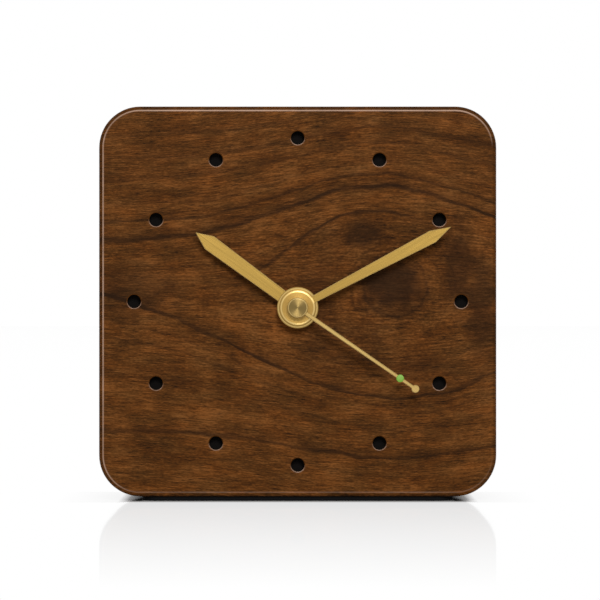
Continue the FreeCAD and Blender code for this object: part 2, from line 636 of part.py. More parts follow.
def movement_housing():
    body = new_body("movement_housing")
    shell = new_sketch(body, "XZ_Plane", "seat")
    rounded_outline(shell, "movement_width", "movement_height", "movement_corner", up="movement_up")
    pad(body, shell, "movement_depth")
    # room for the wheels
    inner_corner = "movement_corner - movement_wall"
    room = new_sketch(body, "XZ_Plane", "inside")
    middle = "(roof + train_floor) / 2"
    rounded_outline(room, "2 * half_inside", "roof - train_floor", inner_corner, up=middle)
    pocket(body, room, "rear - inside")
    # battery bay: a round cradle that opens to the back
    bay = new_sketch(body, "YZ_Plane", "0")
    battery_bay_outline(bay)
    pocket(body, bay, "2 * half_inside", middle=True)
    notch = new_sketch(body, "XZ_Plane", "battery_back")
    box_outline(notch, "-finger_notch / 2", "bay_floor - 2 * movement_wall", "finger_notch / 2", "battery_up")
    pocket(body, notch, "rear - battery_back")
    # the back cover's seat: a ledge on three walls, and the top of the dividing wall
    ledge = new_sketch(body, "XZ_Plane", "cover_level")
    low, high = "bay_roof", "roof + cover_ledge"
    rounded_outline(ledge, "2 * (half_inside + cover_ledge)", f"{high} - {low}", inner_corner,
                    up=f"({low} + {high}) / 2")
    pocket(body, ledge, "cover_thickness")
    # windows that the latches catch in
    for level in ("0", "latch_height"):
        window = new_sketch(body, "XZ_Plane", "cover_level - latch_length")
        half_height = "(latch_width / 2 + cover_gap)"
        box_outline(window, "half_inside - cover_gap", f"{level} - {half_height}",
                    "half_inside + latch_catch + cover_gap", f"{level} + {half_height}")
        mirrored(body, [pocket(body, window, "latch_length / 2 + cover_gap")])
    # slots in the dividing wall for the tails of the contacts
    slot = new_sketch(body, "XZ_Plane", "battery_back - contact_width / 2 - cover_gap")
    box_outline(slot, "half_inside - contact_thickness - cover_gap", "bay_roof - divider_wall",
                "half_inside", "train_floor + movement_corner")
    mirrored(body, [pocket(body, slot, "contact_width + 2 * cover_gap")])
    # what stands on the front wall
    posts(body, pillar_places(), "pillar_diameter", "plate_level", "plate_level + plate_thickness")
    posts(body, coil_post_places(), "core_height", "core_level", "stator_level + stator_thickness")
    posts(body, board_post_places(), "board_post", "board_front", "board_back")
    bearing_boss(body, ("third_x", "third_z"), "centre_level - pinion_overrun - layer_gap / 2")
    bearing_boss(body, ("fifth_x", "fifth_z"), "fifth_level - layer_gap")
    bearing_boss(body, ("rotor_x", "rotor_z"), "fifth_level - pinion_overrun - layer_gap / 2")
    bearing_boss(body, ("setting_x", "setting_z"), "motion_level - layer_gap / 2")
    motion_post = new_sketch(body, "XZ_Plane", "inside - front_wall / 2")
    circle(motion_post, "post_diameter", "motion_x", "motion_z")
    pad(body, motion_post, "motion_level + motion_width + running_gap - (inside - front_wall / 2)")
    # the stem: a seat for its flange, and a hole for its sleeve
    bore(body, "flange_diameter + 2 * press_gap", "seat", "flange_thickness")
    bore(body, "sleeve_diameter + 2 * press_gap", "seat", "front_wall")


def battery_bay_outline(sketch):
    """Half a circle about the cell, carried straight back to the open side."""
    radius = "(bay_height / 2)"
    centre = FreeCAD.Vector(value("battery_back"), value("battery_up"), 0)
    ring = Part.Circle(centre, FreeCAD.Vector(0, 0, 1), value(radius))
    arc = sketch.addGeometry(Part.ArcOfCircle(ring, math.pi / 2, 3 * math.pi / 2))
    top, bottom = sketch.getPoint(arc, 1), sketch.getPoint(arc, 2)
    back = value("rear") + OVERRUN
    corners = [FreeCAD.Vector(back, bottom.y, 0), FreeCAD.Vector(back, top.y, 0)]
    low = sketch.addGeometry(Part.LineSegment(bottom, corners[0]))
    end = sketch.addGeometry(Part.LineSegment(corners[0], corners[1]))
    high = sketch.addGeometry(Part.LineSegment(corners[1], top))
    sketch.addConstraint(Sketcher.Constraint("Tangent", arc, 2, low, 1))
    sketch.addConstraint(Sketcher.Constraint("Coincident", low, 2, end, 1))
    sketch.addConstraint(Sketcher.Constraint("Coincident", end, 2, high, 1))
    sketch.addConstraint(Sketcher.Constraint("Tangent", high, 2, arc, 1))
    sketch.addConstraint(Sketcher.Constraint("Horizontal", low))
    sketch.addConstraint(Sketcher.Constraint("Horizontal", high))
    pin_point(sketch, arc, 3, ("battery_back", "battery_up"))
    measure(sketch, "Radius", radius, arc)
    measure(sketch, "DistanceX", f"rear + {OVERRUN}", -1, 1, low, 2)
    measure(sketch, "DistanceX", f"rear + {OVERRUN}", -1, 1, end, 2)


def movement_back_cover():
    body = new_body("movement_back_cover")
    plate = new_sketch(body, "XZ_Plane", "cover_level")
    low, high = "(bay_roof + cover_gap)", "(roof + cover_ledge - cover_gap)"
    rounded_outline(plate, "2 * (half_inside + cover_ledge - cover_gap)", f"{high} - {low}",
                    "movement_corner - movement_wall - cover_gap", up=f"({low} + {high}) / 2")
    pad(body, plate, "cover_thickness")
    # raised ring round the setting knob
    ring = new_sketch(body, "XZ_Plane", "cover_level")
    circle(ring, "setting_shaft + 2 * cover_thickness", "setting_x", "setting_z")
    pad(body, ring, "cover_thickness + knob_gap / 2")
    bore(body, "setting_shaft + 2 * running_gap", "cover_level", "cover_thickness + knob_gap",
         "setting_x", "setting_z")
    # spring latches, two a side
    for level in ("0", "latch_height"):
        arm = new_sketch(body, "XZ_Plane", "cover_level - latch_length")
        face = "(half_inside - cover_gap)"
        box_outline(arm, f"{face} - latch_thickness", f"{level} - latch_width / 2",
                    face, f"{level} + latch_width / 2")
        stem = pad(body, arm, "latch_length + cover_thickness / 2")
        wedge = new_sketch(body, "XY_Plane", f"{level} - latch_width / 2")
        polygon(wedge, [
            (f"{face} - latch_thickness / 2", "cover_level - latch_length"),
            (face, "cover_level - latch_length"),
            (f"{face} + latch_catch", "cover_level - latch_length / 2 - cover_gap"),
            (f"{face} - latch_thickness / 2", "cover_level - latch_length / 2 - cover_gap"),
        ])
        catch = pad(body, wedge, "latch_width")
        mirrored(body, [stem, catch])


def train_plate():
    body = new_body("train_plate")
    outline = new_sketch(body, "XZ_Plane", "plate_level")
    rounded_outline(outline, "plate_right - plate_left", "plate_high - plate_low", "plate_corner",
                    "(plate_right + plate_left) / 2", "(plate_high + plate_low) / 2")
    pad(body, outline, "plate_thickness")
    holes = new_sketch(body, "XZ_Plane", "plate_level")
    for place in pillar_places():
        circle(holes, "stake_diameter + 2 * running_gap", *place)
    for place in (("0", "0"), ("third_x", "third_z"), ("fifth_x", "fifth_z"), ("rotor_x", "rotor_z")):
        circle(holes, "pivot_diameter + 2 * running_gap", *place)
    pocket(body, holes, "plate_thickness")


# ---------------------------------------------------------------- motor

def stator():
    body = new_body("stator", across="rotor_x", up="rotor_z")
    sketch = new_sketch(body, "XZ_Plane", "stator_level")
    outer, inner = "stator_span / 2", "(stator_span / 2 - stator_leg)"
    low, middle, high = "-stator_height / 2", "stator_height / 2", "coil_rise + stator_leg / 2"
    polygon(sketch, [
        (f"-{outer}", low), (outer, low), (outer, high), (inner, high),
        (inner, middle), (f"-{inner}", middle), (f"-{inner}", high), (f"-{outer}", high),
    ])
    circle(sketch, "magnet_diameter + 2 * magnet_gap")
    for side in (-1, 1):
        circle(sketch, "stake_diameter + 2 * running_gap", f"{side} * leg_reach", "coil_rise")
    pad(body, sketch, "stator_thickness")


def coil_core():
    body = new_body("coil_core", across="rotor_x", up="coil_z")
    sketch = new_sketch(body, "XZ_Plane", "core_level")
    box_outline(sketch, "-stator_span / 2", "-core_height / 2", "stator_span / 2", "core_height / 2")
    for side in (-1, 1):
        circle(sketch, "stake_diameter + 2 * running_gap", f"{side} * leg_reach")
    pad(body, sketch, "core_thickness")


def coil_bobbin():
    body = new_body("coil_bobbin", across="rotor_x", up="coil_z")
    end, neck = "bobbin_length / 2", "(bobbin_length / 2 - coil_flange_thick)"
    flange, barrel = "coil_flange / 2", "bobbin_barrel / 2"
    sketch = [(f"-{end}", "0"), (f"-{end}", flange), (f"-{neck}", flange), (f"-{neck}", barrel),
              (neck, barrel), (neck, flange), (end, flange), (end, "0")]
    turned(body, sketch, plane="XZ_Plane", start="coil_level")
    slot = new_sketch(body, "XZ_Plane", "core_level - press_gap")
    half = "core_height / 2 + press_gap"
    box_outline(slot, f"-{end}", f"-({half})", end, half)
    pocket(body, slot, "core_thickness + 2 * press_gap")


def coil_winding():
    body = new_body("coil_winding", across="rotor_x", up="coil_z")
    end = "(bobbin_length / 2 - coil_flange_thick - press_gap)"
    inner, outer = "bobbin_barrel / 2 + press_gap", "coil_diameter / 2"
    turned(body, [(f"-{end}", inner), (f"-{end}", outer), (end, outer), (end, inner)],
           plane="XZ_Plane", start="coil_level")


# ---------------------------------------------------------------- circuit and battery

def circuit_board():
    body = new_body("circuit_board", across="board_across", up="board_up")
    outline = new_sketch(body, "XZ_Plane", "board_front")
    box_outline(outline, "-board_width / 2", "-board_height / 2", "board_width / 2", "board_height / 2")
    for side in (-1, 1):
        circle(outline, "stake_diameter + 2 * running_gap", "0",
               f"{side} * (board_height / 2 - board_post_inset)")
    pad(body, outline, "board_thickness")


def chip_seal():
    body = new_body("chip_seal", across="board_across", up="board_up - board_height / 5")
    radius, top = "chip_diameter / 2", "board_back + chip_height"
    turned(body, [("board_back", "0"), ("board_back", radius), ("board_back + chip_height / 3", radius),
                  (top, f"{radius} / 2"), (top, "0")])


def quartz_crystal():
    body = new_body("quartz_crystal", across="board_across", up="board_up + board_height / 7")
    sketch = new_sketch(body, "XY_Plane", "-crystal_length / 2")
    circle(sketch, "crystal_diameter", "0", "board_back + crystal_diameter / 2")
    can = pad(body, sketch, "crystal_length")
    soften(body, can, "crystal_diameter / 8", lambda edge, middle: edge.Curve.TypeId == "Part::GeomCircle")


def battery():
    body = new_body("battery", across="battery_across", up="battery_up")
    end, can = "battery_length / 2", "battery_diameter / 2"
    shoulder = f"{end} - battery_nub_height"
    nub, bevel = "battery_nub / 2", "battery_gap"
    turned(body, [
        (f"-{end}", "0"), (f"-{end}", f"{can} - 4 * {bevel}"),
        (f"-{end} + {bevel} / 2", f"{can} - 2 * {bevel}"), (f"-{end} + {bevel}", can),
        (f"{shoulder} - {bevel}", can), (shoulder, f"{can} - 2 * {bevel}"),
        (shoulder, nub), (f"{end} - {bevel} / 2", nub), (end, f"{nub} - {bevel}"), (end, "0"),
    ], plane="XZ_Plane", start="battery_back")


def contact_strip(body, places):
    """A strip of spring metal whose edge is drawn from the front."""
    sketch = new_sketch(body, "XZ_Plane", "battery_back - contact_width / 2")
    polygon(sketch, places)
    pad(body, sketch, "contact_width")


def battery_contact_positive():
    """Flat on the right wall of the bay, its tail bent over under the circuit board."""
    body = new_body("battery_contact_positive")
    wall, face = "half_inside", "(half_inside - contact_thickness)"
    tail = "(train_floor + contact_rise)"
    contact_strip(body, [
        (wall, "battery_up - contact_width / 2"), (wall, tail),
        (face, tail), (face, "battery_up - contact_width / 2"),
    ])


def battery_contact_negative():
    """Hangs on the left wall of the bay and bows towards the cell's flat end."""
    body = new_body("battery_contact_negative")
    wall, face = "-half_inside", "(contact_thickness - half_inside)"
    bow = "(battery_across - battery_length / 2 - contact_gap)"
    low, high, tail = "battery_up - contact_width / 2", "battery_up + contact_width", "train_floor + contact_rise"
    contact_strip(body, [
        (wall, tail), (wall, high), (f"{bow} - contact_thickness", "battery_up"), (face, low),
        (f"{face} + contact_thickness", low), (bow, "battery_up"),
        (face, f"{high} + contact_thickness"), (face, tail),
    ])


# ---------------------------------------------------------------- wheels behind the hands

def hour_wheel():
    body = new_body("hour_wheel")
    toothed_rim(body, "hour_teeth", "motion_leaves", "motion_spacing", "hour_level", "motion_width",
                "motion_bearing")
    tube = new_sketch(body, "XZ_Plane", "-hour_front")
    circle(tube, "hour_tube")
    pad(body, tube, "hour_front + hour_level + motion_width")
    bore(body, "minute_tube + 2 * running_gap", "-hour_front", "hour_front + hour_level + motion_width")


def motion_wheel():
    body = new_body("motion_wheel", "motion_x", "motion_z")
    towards = "motion_bearing + 180"
    toothed_rim(body, "motion_teeth", "cannon_teeth", "motion_spacing", "motion_level", "motion_width",
                towards)
    start = "hour_level - pinion_overrun"
    toothed_rim(body, "motion_leaves", "hour_teeth", "motion_spacing", start, f"motion_level - ({start})",
                tooth_facing(towards, "motion_leaves"))
    bore(body, "post_diameter + 2 * running_gap", start, f"motion_level + motion_width - ({start})")


def minute_arbor():
    body = new_body("minute_arbor")
    start = "motion_level - pinion_overrun"
    back = "motion_level + motion_width + pinion_overrun"
    toothed_rim(body, "cannon_teeth", "motion_teeth", "motion_spacing", start, f"{back} - ({start})",
                tooth_facing("motion_bearing", "cannon_teeth"))
    end = "fifth_level + layer_gap"
    tube = new_sketch(body, "XZ_Plane", "-minute_front")
    circle(tube, "minute_tube")
    pad(body, tube, f"minute_front + {back}")
    seat = new_sketch(body, "XZ_Plane", back)
    circle(seat, "clutch_seat")
    pad(body, seat, f"{end} - ({back})")
    bore(body, "seconds_arbor + 2 * running_gap", "-minute_front", f"minute_front + {end}")


def setting_arbor():
    body = new_body("setting_arbor", "setting_x", "setting_z")
    front = "motion_level - layer_gap / 2"
    # the motion wheel's gap nearest to this arbor, in degrees past the line between them
    pitch = "(360 / motion_teeth)"
    past = f"mod(motion_bearing + 180 - setting_bearing, {pitch})"
    facing = f"setting_bearing + 180 + 180 / setting_teeth - ({past}) * motion_teeth / setting_teeth"
    toothed_rim(body, "setting_teeth", "motion_teeth", "motion_spacing", f"{front} + running_gap",
                "motion_width + layer_gap / 2 + pinion_overrun", facing)
    thick, thin = "setting_shaft / 2", "pivot_diameter / 2"
    end = "knob_front + knob_thickness - cover_thickness"
    turned(body, [
        (f"{front} - pivot_length", "0"), (f"{front} - pivot_length", thin),
        (f"{front} + running_gap", thin), (f"{front} + running_gap", thick), (end, thick), (end, "0"),
    ])


def setting_knob():
    body = new_body("setting_knob", "setting_x", "setting_z")
    outer, inner = "knob_diameter / 2", "setting_shaft / 2 + press_gap"
    back = "knob_front + knob_thickness"
    socket = f"{back} - cover_thickness + press_gap"
    bevel = "groove_diameter / 2"
    turned(body, [
        ("knob_front", inner), ("knob_front", outer), (f"{back} - {bevel}", outer),
        (back, f"{outer} - {bevel}"), (back, "0"), (socket, "0"), (socket, inner),
    ])
    groove = new_sketch(body, "XZ_Plane", "knob_front")
    circle(groove, "groove_diameter", "0", outer)
    around(body, [pocket(body, groove, "knob_thickness")], "knob_grooves")


# ---------------------------------------------------------------- wheel train

def centre_wheel():
    """Turns on the rear seat of the minute arbor, which slips in it when the hands are set."""
    body = new_body("centre_wheel")
    toothed_rim(body, "centre_teeth", "third_leaves", "third_spacing", "centre_level", "wheel_width",
                "third_bearing")
    hub = new_sketch(body, "XZ_Plane", "centre_level")
    circle(hub, "clutch_seat + 2 * divider_wall")
    pad(body, hub, "wheel_width + layer_gap")
    bore(body, "clutch_seat + 2 * running_gap", "centre_level", "wheel_width + layer_gap")


def third_wheel():
    body = new_body("third_wheel", "third_x", "third_z")
    towards = "third_bearing + 180"
    running_arbor(body, "(centre_level - pinion_overrun - layer_gap / 2)", "plate_level")
    toothed_rim(body, "third_leaves", "centre_teeth", "third_spacing", "centre_level - pinion_overrun",
                "wheel_width + 2 * pinion_overrun", tooth_facing(towards, "third_leaves"))
    toothed_rim(body, "third_teeth", "seconds_leaves", "third_spacing", "third_level", "wheel_width",
                towards)


def seconds_wheel():
    """The seconds arbor runs the whole way forward through the minute arbor."""
    body = new_body("seconds_wheel")
    toothed_rim(body, "seconds_leaves", "third_teeth", "third_spacing", "third_level - pinion_overrun",
                "wheel_width + 2 * pinion_overrun", tooth_facing("third_bearing", "seconds_leaves"))
    toothed_rim(body, "seconds_teeth", "fifth_leaves", "fifth_spacing", "seconds_level", "wheel_width",
                "fifth_bearing")
    front, thick, thin = "-(seconds_front + cap_height / 2)", "seconds_arbor / 2", "pivot_diameter / 2"
    turned(body, [
        (front, "0"), (front, thick), ("plate_level - running_gap", thick),
        ("plate_level - running_gap", thin), ("plate_level + pivot_length", thin),
        ("plate_level + pivot_length", "0"),
    ])


def fifth_wheel():
    body = new_body("fifth_wheel", "fifth_x", "fifth_z")
    running_arbor(body, "(fifth_level - layer_gap)", "plate_level")
    toothed_rim(body, "fifth_leaves", "seconds_teeth", "fifth_spacing", "seconds_level - pinion_overrun",
                "wheel_width + 2 * pinion_overrun", tooth_facing("fifth_bearing + 180", "fifth_leaves"))
    toothed_rim(body, "fifth_teeth", "rotor_leaves", "rotor_spacing", "fifth_level", "wheel_width",
                "rotor_bearing")


def rotor_pinion():
    body = new_body("rotor_pinion", "rotor_x", "rotor_z")
    running_arbor(body, "(fifth_level - pinion_overrun - layer_gap / 2)", "plate_level")
    toothed_rim(body, "rotor_leaves", "fifth_teeth", "rotor_spacing", "fifth_level - pinion_overrun",
                "wheel_width + 2 * pinion_overrun", tooth_facing("rotor_bearing + 180", "rotor_leaves"))


def rotor_magnet():
    body = new_body("rotor_magnet", "rotor_x", "rotor_z")
    inner, outer = "arbor_diameter / 2 + press_gap", "magnet_diameter / 2"
    front = "(stator_level + stator_thickness / 2 - magnet_length / 2)"
    back = f"{front} + magnet_length"
    turned(body, [(front, inner), (front, outer), (back, outer), (back, inner)])


# ---------------------------------------------------------------- hands

def hand_boss(body, diameter, tube, back, front):
    """A bevelled boss pressed on a tube, from its back to its front face."""
    inner, outer = f"({tube}) / 2 + press_gap", f"({diameter}) / 2"
    turned(body, [
        (f"-{back}", inner), (f"-{back}", outer), (f"-{front} + boss_bevel", outer),
        (f"-{front}", f"{outer} - boss_bevel"), (f"-{front}", inner),
    ])


def hand_blade(body, boss, front, reach, point, broad, narrow):
    """A flat blade that widens from its boss and ends in a point."""
    blade = new_sketch(body, "XZ_Plane", f"-({front} - boss_bevel)")
    root = f"({boss} / 2 - boss_bevel)"
    polygon(blade, [
        (f"-{narrow} / 2", root), (f"{narrow} / 2", root), (f"{broad} / 2", f"{reach} - {point}"),
        ("0", reach), (f"-{broad} / 2", f"{reach} - {point}"),
    ])
    pad(body, blade, "blade_thickness")


def hour_hand():
    body = new_body("hour_hand", turn="hour_bearing")
    hand_boss(body, "hour_boss", "hour_tube", "hour_back", "hour_front")
    hand_blade(body, "hour_boss", "hour_front", "hour_reach", "hour_point", "hour_broad", "hour_narrow")


def minute_hand():
    body = new_body("minute_hand", turn="minute_bearing")
    hand_boss(body, "minute_boss", "minute_tube", "minute_back", "minute_front")
    hand_blade(body, "minute_boss", "minute_front", "minute_reach", "minute_point", "minute_broad",
               "minute_narrow")


def seconds_hand():
    body = new_body("seconds_hand", turn="seconds_bearing")
    start = "-seconds_front"
    boss = new_sketch(body, "XZ_Plane", start)
    circle(boss, "seconds_boss")
    pad(body, boss, "seconds_thick")
    rod = new_sketch(body, "XZ_Plane", start)
    root = "(seconds_boss / 2 - seconds_thick)"
    polygon(rod, [
        ("-seconds_broad / 2", root), ("seconds_broad / 2", root),
        ("seconds_narrow / 2", "seconds_reach"), ("-seconds_narrow / 2", "seconds_reach"),
    ])
    pad(body, rod, "seconds_thick")
    discs = new_sketch(body, "XZ_Plane", start)
    circle(discs, "seconds_disc", "0", "seconds_reach")
    circle(discs, "lume_diameter - 2 * press_gap", "0", "lume_reach")
    pad(body, discs, "seconds_thick")
    bore(body, "seconds_arbor + 2 * press_gap", start, "seconds_thick")


def seconds_cap():
    body = new_body("seconds_cap")
    inner, outer = "seconds_arbor / 2 + press_gap", "cap_diameter / 2"
    socket = "-(seconds_front + cap_height / 2 + press_gap)"
    turned(body, [
        ("-seconds_front", inner), ("-seconds_front", outer), ("-cap_front + cap_bevel", outer),
        ("-cap_front", f"{outer} - cap_bevel"), ("-cap_front", "0"), (socket, "0"), (socket, inner),
    ])


def lume_dot():
    body = new_body("lume_dot", turn="seconds_bearing")
    radius, front = "lume_diameter / 2", "seconds_front + lume_thickness"
    disc = new_sketch(body, "XZ_Plane", f"-({front})")
    circle(disc, "lume_diameter", "0", "lume_reach")
    bead = pad(body, disc, "lume_thickness")
    soften(body, bead, "lume_thickness / 2", lambda edge, middle: middle.y < -value(front) + 0.01
           and edge.Curve.TypeId == "Part::GeomCircle")


MAKERS = [
    wooden_case, base_pad, rubber_washer, threaded_bushing, mounting_nut, movement_housing,
    movement_back_cover, train_plate, stator, coil_core, coil_bobbin, coil_winding, circuit_board,
    chip_seal, quartz_crystal, battery_contact_positive, battery_contact_negative, battery,
    hour_wheel, motion_wheel, minute_arbor, setting_arbor, setting_knob, centre_wheel, third_wheel,
    seconds_wheel, fifth_wheel, rotor_pinion, rotor_magnet, hour_hand, minute_hand, seconds_hand,
    seconds_cap, lume_dot,
]


def check_document():
    """Stop if any object failed, or a cut took nothing away."""
    for item in doc.Objects:
        if "Invalid" in item.State or "Error" in item.State:
            raise RuntimeError(f"{item.Label} did not compute: {item.State}")
        base = getattr(item, "BaseFeature", None)
        if base is not None and item.TypeId in ("PartDesign::Pocket", "PartDesign::Groove"):
            if item.Shape.Volume >= base.Shape.Volume - 1e-6:
                raise RuntimeError(f"{item.Name} in {item.getParentGeoFeatureGroup().Label} cuts nothing")


def export():
    """Write each sub-part to its own file, named after its label."""
    os.makedirs("parts", exist_ok=True)
    for body in doc.findObjects("PartDesign::Body"):
        shape = body.Shape
        if shape.isNull() or not shape.isValid() or len(shape.Solids) != 1:
            raise RuntimeError(f"{body.Label} is not one valid solid")
        shape.exportStep(f"parts/{body.Label}.step")
        print(f"{body.Label:28s} {shape.Volume:12.3f} mm3")


for maker in MAKERS:
    maker()
doc.recompute()
check_document()
export()
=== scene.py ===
"""Walnut desk clock: its finer pieces and finishes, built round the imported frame."""

import json
import math
from collections import namedtuple

import bmesh
import bpy
from mathutils import Matrix, Vector

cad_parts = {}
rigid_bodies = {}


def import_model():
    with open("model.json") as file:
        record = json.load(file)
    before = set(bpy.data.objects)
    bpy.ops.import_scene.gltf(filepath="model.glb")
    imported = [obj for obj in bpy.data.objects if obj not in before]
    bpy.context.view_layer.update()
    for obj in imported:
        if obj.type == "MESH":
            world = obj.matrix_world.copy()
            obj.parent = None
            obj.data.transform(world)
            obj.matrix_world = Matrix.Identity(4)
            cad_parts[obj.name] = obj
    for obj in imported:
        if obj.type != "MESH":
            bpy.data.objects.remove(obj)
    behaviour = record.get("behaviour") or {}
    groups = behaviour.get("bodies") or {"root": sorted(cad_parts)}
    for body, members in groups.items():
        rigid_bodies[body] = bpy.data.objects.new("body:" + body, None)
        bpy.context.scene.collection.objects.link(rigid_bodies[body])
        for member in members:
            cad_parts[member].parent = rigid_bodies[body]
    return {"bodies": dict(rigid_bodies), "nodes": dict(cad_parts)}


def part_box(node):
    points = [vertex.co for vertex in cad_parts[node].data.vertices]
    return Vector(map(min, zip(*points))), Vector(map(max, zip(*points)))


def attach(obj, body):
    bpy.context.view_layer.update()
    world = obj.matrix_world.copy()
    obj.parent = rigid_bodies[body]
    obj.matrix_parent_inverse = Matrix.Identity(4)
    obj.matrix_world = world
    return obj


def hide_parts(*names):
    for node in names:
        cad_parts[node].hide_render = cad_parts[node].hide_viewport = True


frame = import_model()

bl_info = {
    "name": "Walnut desk clock",
    "version": (1, 0, 0),
    "blender": (4, 5, 0),
    "location": "3D View > Sidebar > Clock",
    "description": "Dresses the frame of a desk clock in walnut, brass and plastic",
    "category": "Object",
}

MM = 0.001

# how many steps round a corner, a turned piece and the luminous dot, and up the dot's dome
CORNER_STEPS = 16
LATHE_STEPS = 96
DOT_STEPS = 48
DOME_STEPS = 10

# how near points lie that are merged: doubles, and the slivers that cutting leaves
DOUBLES = 0.0001 * MM
SLIVER = 0.002 * MM

# how far above a face a cut starts, and how steeply a drill's point rises to its tip
OVERRUN = 0.5 * MM
DRILL_POINT = math.radians(31)

# the thickness of the hands' blades, the cut along their edges, how far a boss stands in front of its
# blade, and the narrow ring that keeps the shading of its face flat
BLADE_SHEET = 0.4 * MM
BLADE_EDGE = 0.18 * MM
BOSS_RISE = 0.35 * MM
FACE_RING = 0.06 * MM

# how far the dot's seat stays inside the dot, and its dome's form, where 1 is round and less is fuller
DOT_INSET = 0.01 * MM
DOT_DOME = 0.8

# how deep the marks on the cover are rooted in it
MARK_ROOT = 0.1 * MM

# the cap's rounded edge, in millimetres in from the side and back from the face
CAP_EDGE = ((0.45, 0.0), (0.4, 0.0), (0.29, 0.04), (0.05, 0.3), (0.0, 0.4))

# the cell's ends, in millimetres along from the end and in from the side, or out from the axis at its nub
CELL_MINUS_END = ((0.25, 1.6), (0.0, 1.2), (0.0, 0.5), (0.4, 0.0))
CELL_PLUS_END = ((1.5, 0.0), (1.1, 0.5), (1.1, 0.8))
CELL_NUB = ((1.3, 2.7), (0.2, 2.7), (0.0, 2.4), (0.0, 0.0))


def clear_starting_scene():
    """Removes whatever the starting scene holds besides the frame."""
    wanted = set(frame["nodes"].values()) | set(frame["bodies"].values())
    for stray in [o for o in bpy.data.objects if o not in wanted]:
        bpy.data.objects.remove(stray)


clear_starting_scene()
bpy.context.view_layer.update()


# ---------------------------------------------------------------- places on the frame

def middle(node):
    """The middle of a node's box."""
    low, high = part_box(node)
    return (low + high) / 2


def half_size(node):
    """Half the width, depth and height of a node's box."""
    low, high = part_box(node)
    return (high - low) / 2


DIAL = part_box("wooden_case")[0].y
CASE_MIDDLE = Vector((middle("wooden_case").x, DIAL, middle("wooden_case").z))
HUB = Vector((middle("threaded_bushing").x, DIAL, middle("threaded_bushing").z))


# ---------------------------------------------------------------- settings

def length(name, millimetres, description):
    """A length setting that is given in millimetres."""
    return bpy.props.FloatProperty(
        name=name, description=description, default=millimetres * MM, unit="LENGTH", precision=5)


def bearing(degrees):
    """The setting for the way a hand points."""
    return bpy.props.FloatProperty(
        name="Bearing", description="Clockwise from twelve, seen from the front",
        default=math.radians(degrees), unit="ROTATION")


def count(name, number, description):
    """A setting that counts things."""
    return bpy.props.IntProperty(name=name, description=description, default=number, min=1)


def colour(name, red, green, blue, description):
    """A colour setting that is given as the shades of red, green and blue on a screen, 0 to 255."""
    return bpy.props.FloatVectorProperty(
        name=name, description=description, size=3, subtype="COLOR", min=0.0, max=1.0,
        default=[linear(shade) for shade in (red, green, blue)])


def linear(shade):
    """The light that a screen gives for a shade of 0 to 255."""
    part = shade / 255
    return part / 12.92 if part <= 0.04045 else ((part + 0.055) / 1.055) ** 2.4


class ClockBlockSizes(bpy.types.PropertyGroup):
    """Sizes of the wooden block."""

    corner_radius: length("Corner radius", 10.5, "Radius of the block's four corners")
    edge_round: length("Edge round", 1.3, "Radius along the front and back edges")
    pocket_gap: length("Pocket gap", 2.0, "Space left round the movement in its pocket")
    pocket_corner: length("Pocket corner", 8.0, "Corner radius of the pocket")
    pocket_rim: length("Pocket rim", 0.3, "Width of the broken edge round the pocket")
    bore_radius: length("Bore radius", 4.1, "Radius of the hole for the threaded stem")
    marks: count("Hour marks", 12, "How many hour marks are drilled")
    ring_radius: length("Ring radius", 41.8, "Radius of the circle of hour marks")
    mark_radius: length("Mark radius", 1.75, "Radius of an hour mark")
    mark_depth: length("Mark depth", 3.0, "Depth of an hour mark, without its drill point")
    mark_rim: length("Mark rim", 0.2, "Width of the broken edge round an hour mark")


class ClockPadSizes(bpy.types.PropertyGroup):
    """Sizes of the pad under the block."""

    corner: length("Corner", 4.0, "Corner radius of the pad, seen from below")
    edge: length("Edge", 0.25, "Width of the broken edge round the underside")


class ClockHourHandSizes(bpy.types.PropertyGroup):
    """Sizes of the hour hand."""

    reach: length("Reach", 32.3, "From the arbor to the tip")
    point: length("Point", 4.4, "Length of the pointed end")
    broad: length("Broad", 4.0, "Width at the shoulders")
    narrow: length("Narrow", 3.2, "Width at the boss")
    boss: length("Boss", 10.5, "Diameter of the boss")
    face: length("Face", 9.5, "Diameter of the boss's flat face")
    bore: length("Bore", 5.02, "Diameter of the hole for the hour tube")
    bearing: bearing(306.4)


class ClockMinuteHandSizes(bpy.types.PropertyGroup):
    """Sizes of the minute hand."""

    reach: length("Reach", 44.1, "From the arbor to the tip")
    point: length("Point", 5.3, "Length of the pointed end")
    broad: length("Broad", 3.3, "Width at the shoulders")
    narrow: length("Narrow", 1.8, "Width at the boss")
    boss: length("Boss", 9.2, "Diameter of the boss")
    face: length("Face", 8.0, "Diameter of the boss's flat face")
    bore: length("Bore", 3.22, "Diameter of the hole for the minute arbor")
    bearing: bearing(62.2)


class ClockSecondsHandSizes(bpy.types.PropertyGroup):
    """Sizes of the seconds hand."""

    reach: length("Reach", 36.3, "From the arbor to the middle of the end disc")
    disc: length("Disc", 2.0, "Diameter of the end disc")
    broad: length("Broad", 1.05, "Width at the boss")
    narrow: length("Narrow", 0.8, "Width at the end disc")
    boss: length("Boss", 4.4, "Diameter of the boss")
    bore: length("Bore", 1.02, "Diameter of the hole for the seconds arbor")
    bearing: bearing(124.6)


class ClockCapSizes(bpy.types.PropertyGroup):
    """Sizes of the cap over the seconds arbor."""

    diameter: length("Diameter", 5.1, "Diameter of the cap")
    bore: length("Bore", 1.02, "Diameter of the hole for the seconds arbor")
    face: length("Face", 1.09, "Thickness of the cap in front of the arbor")


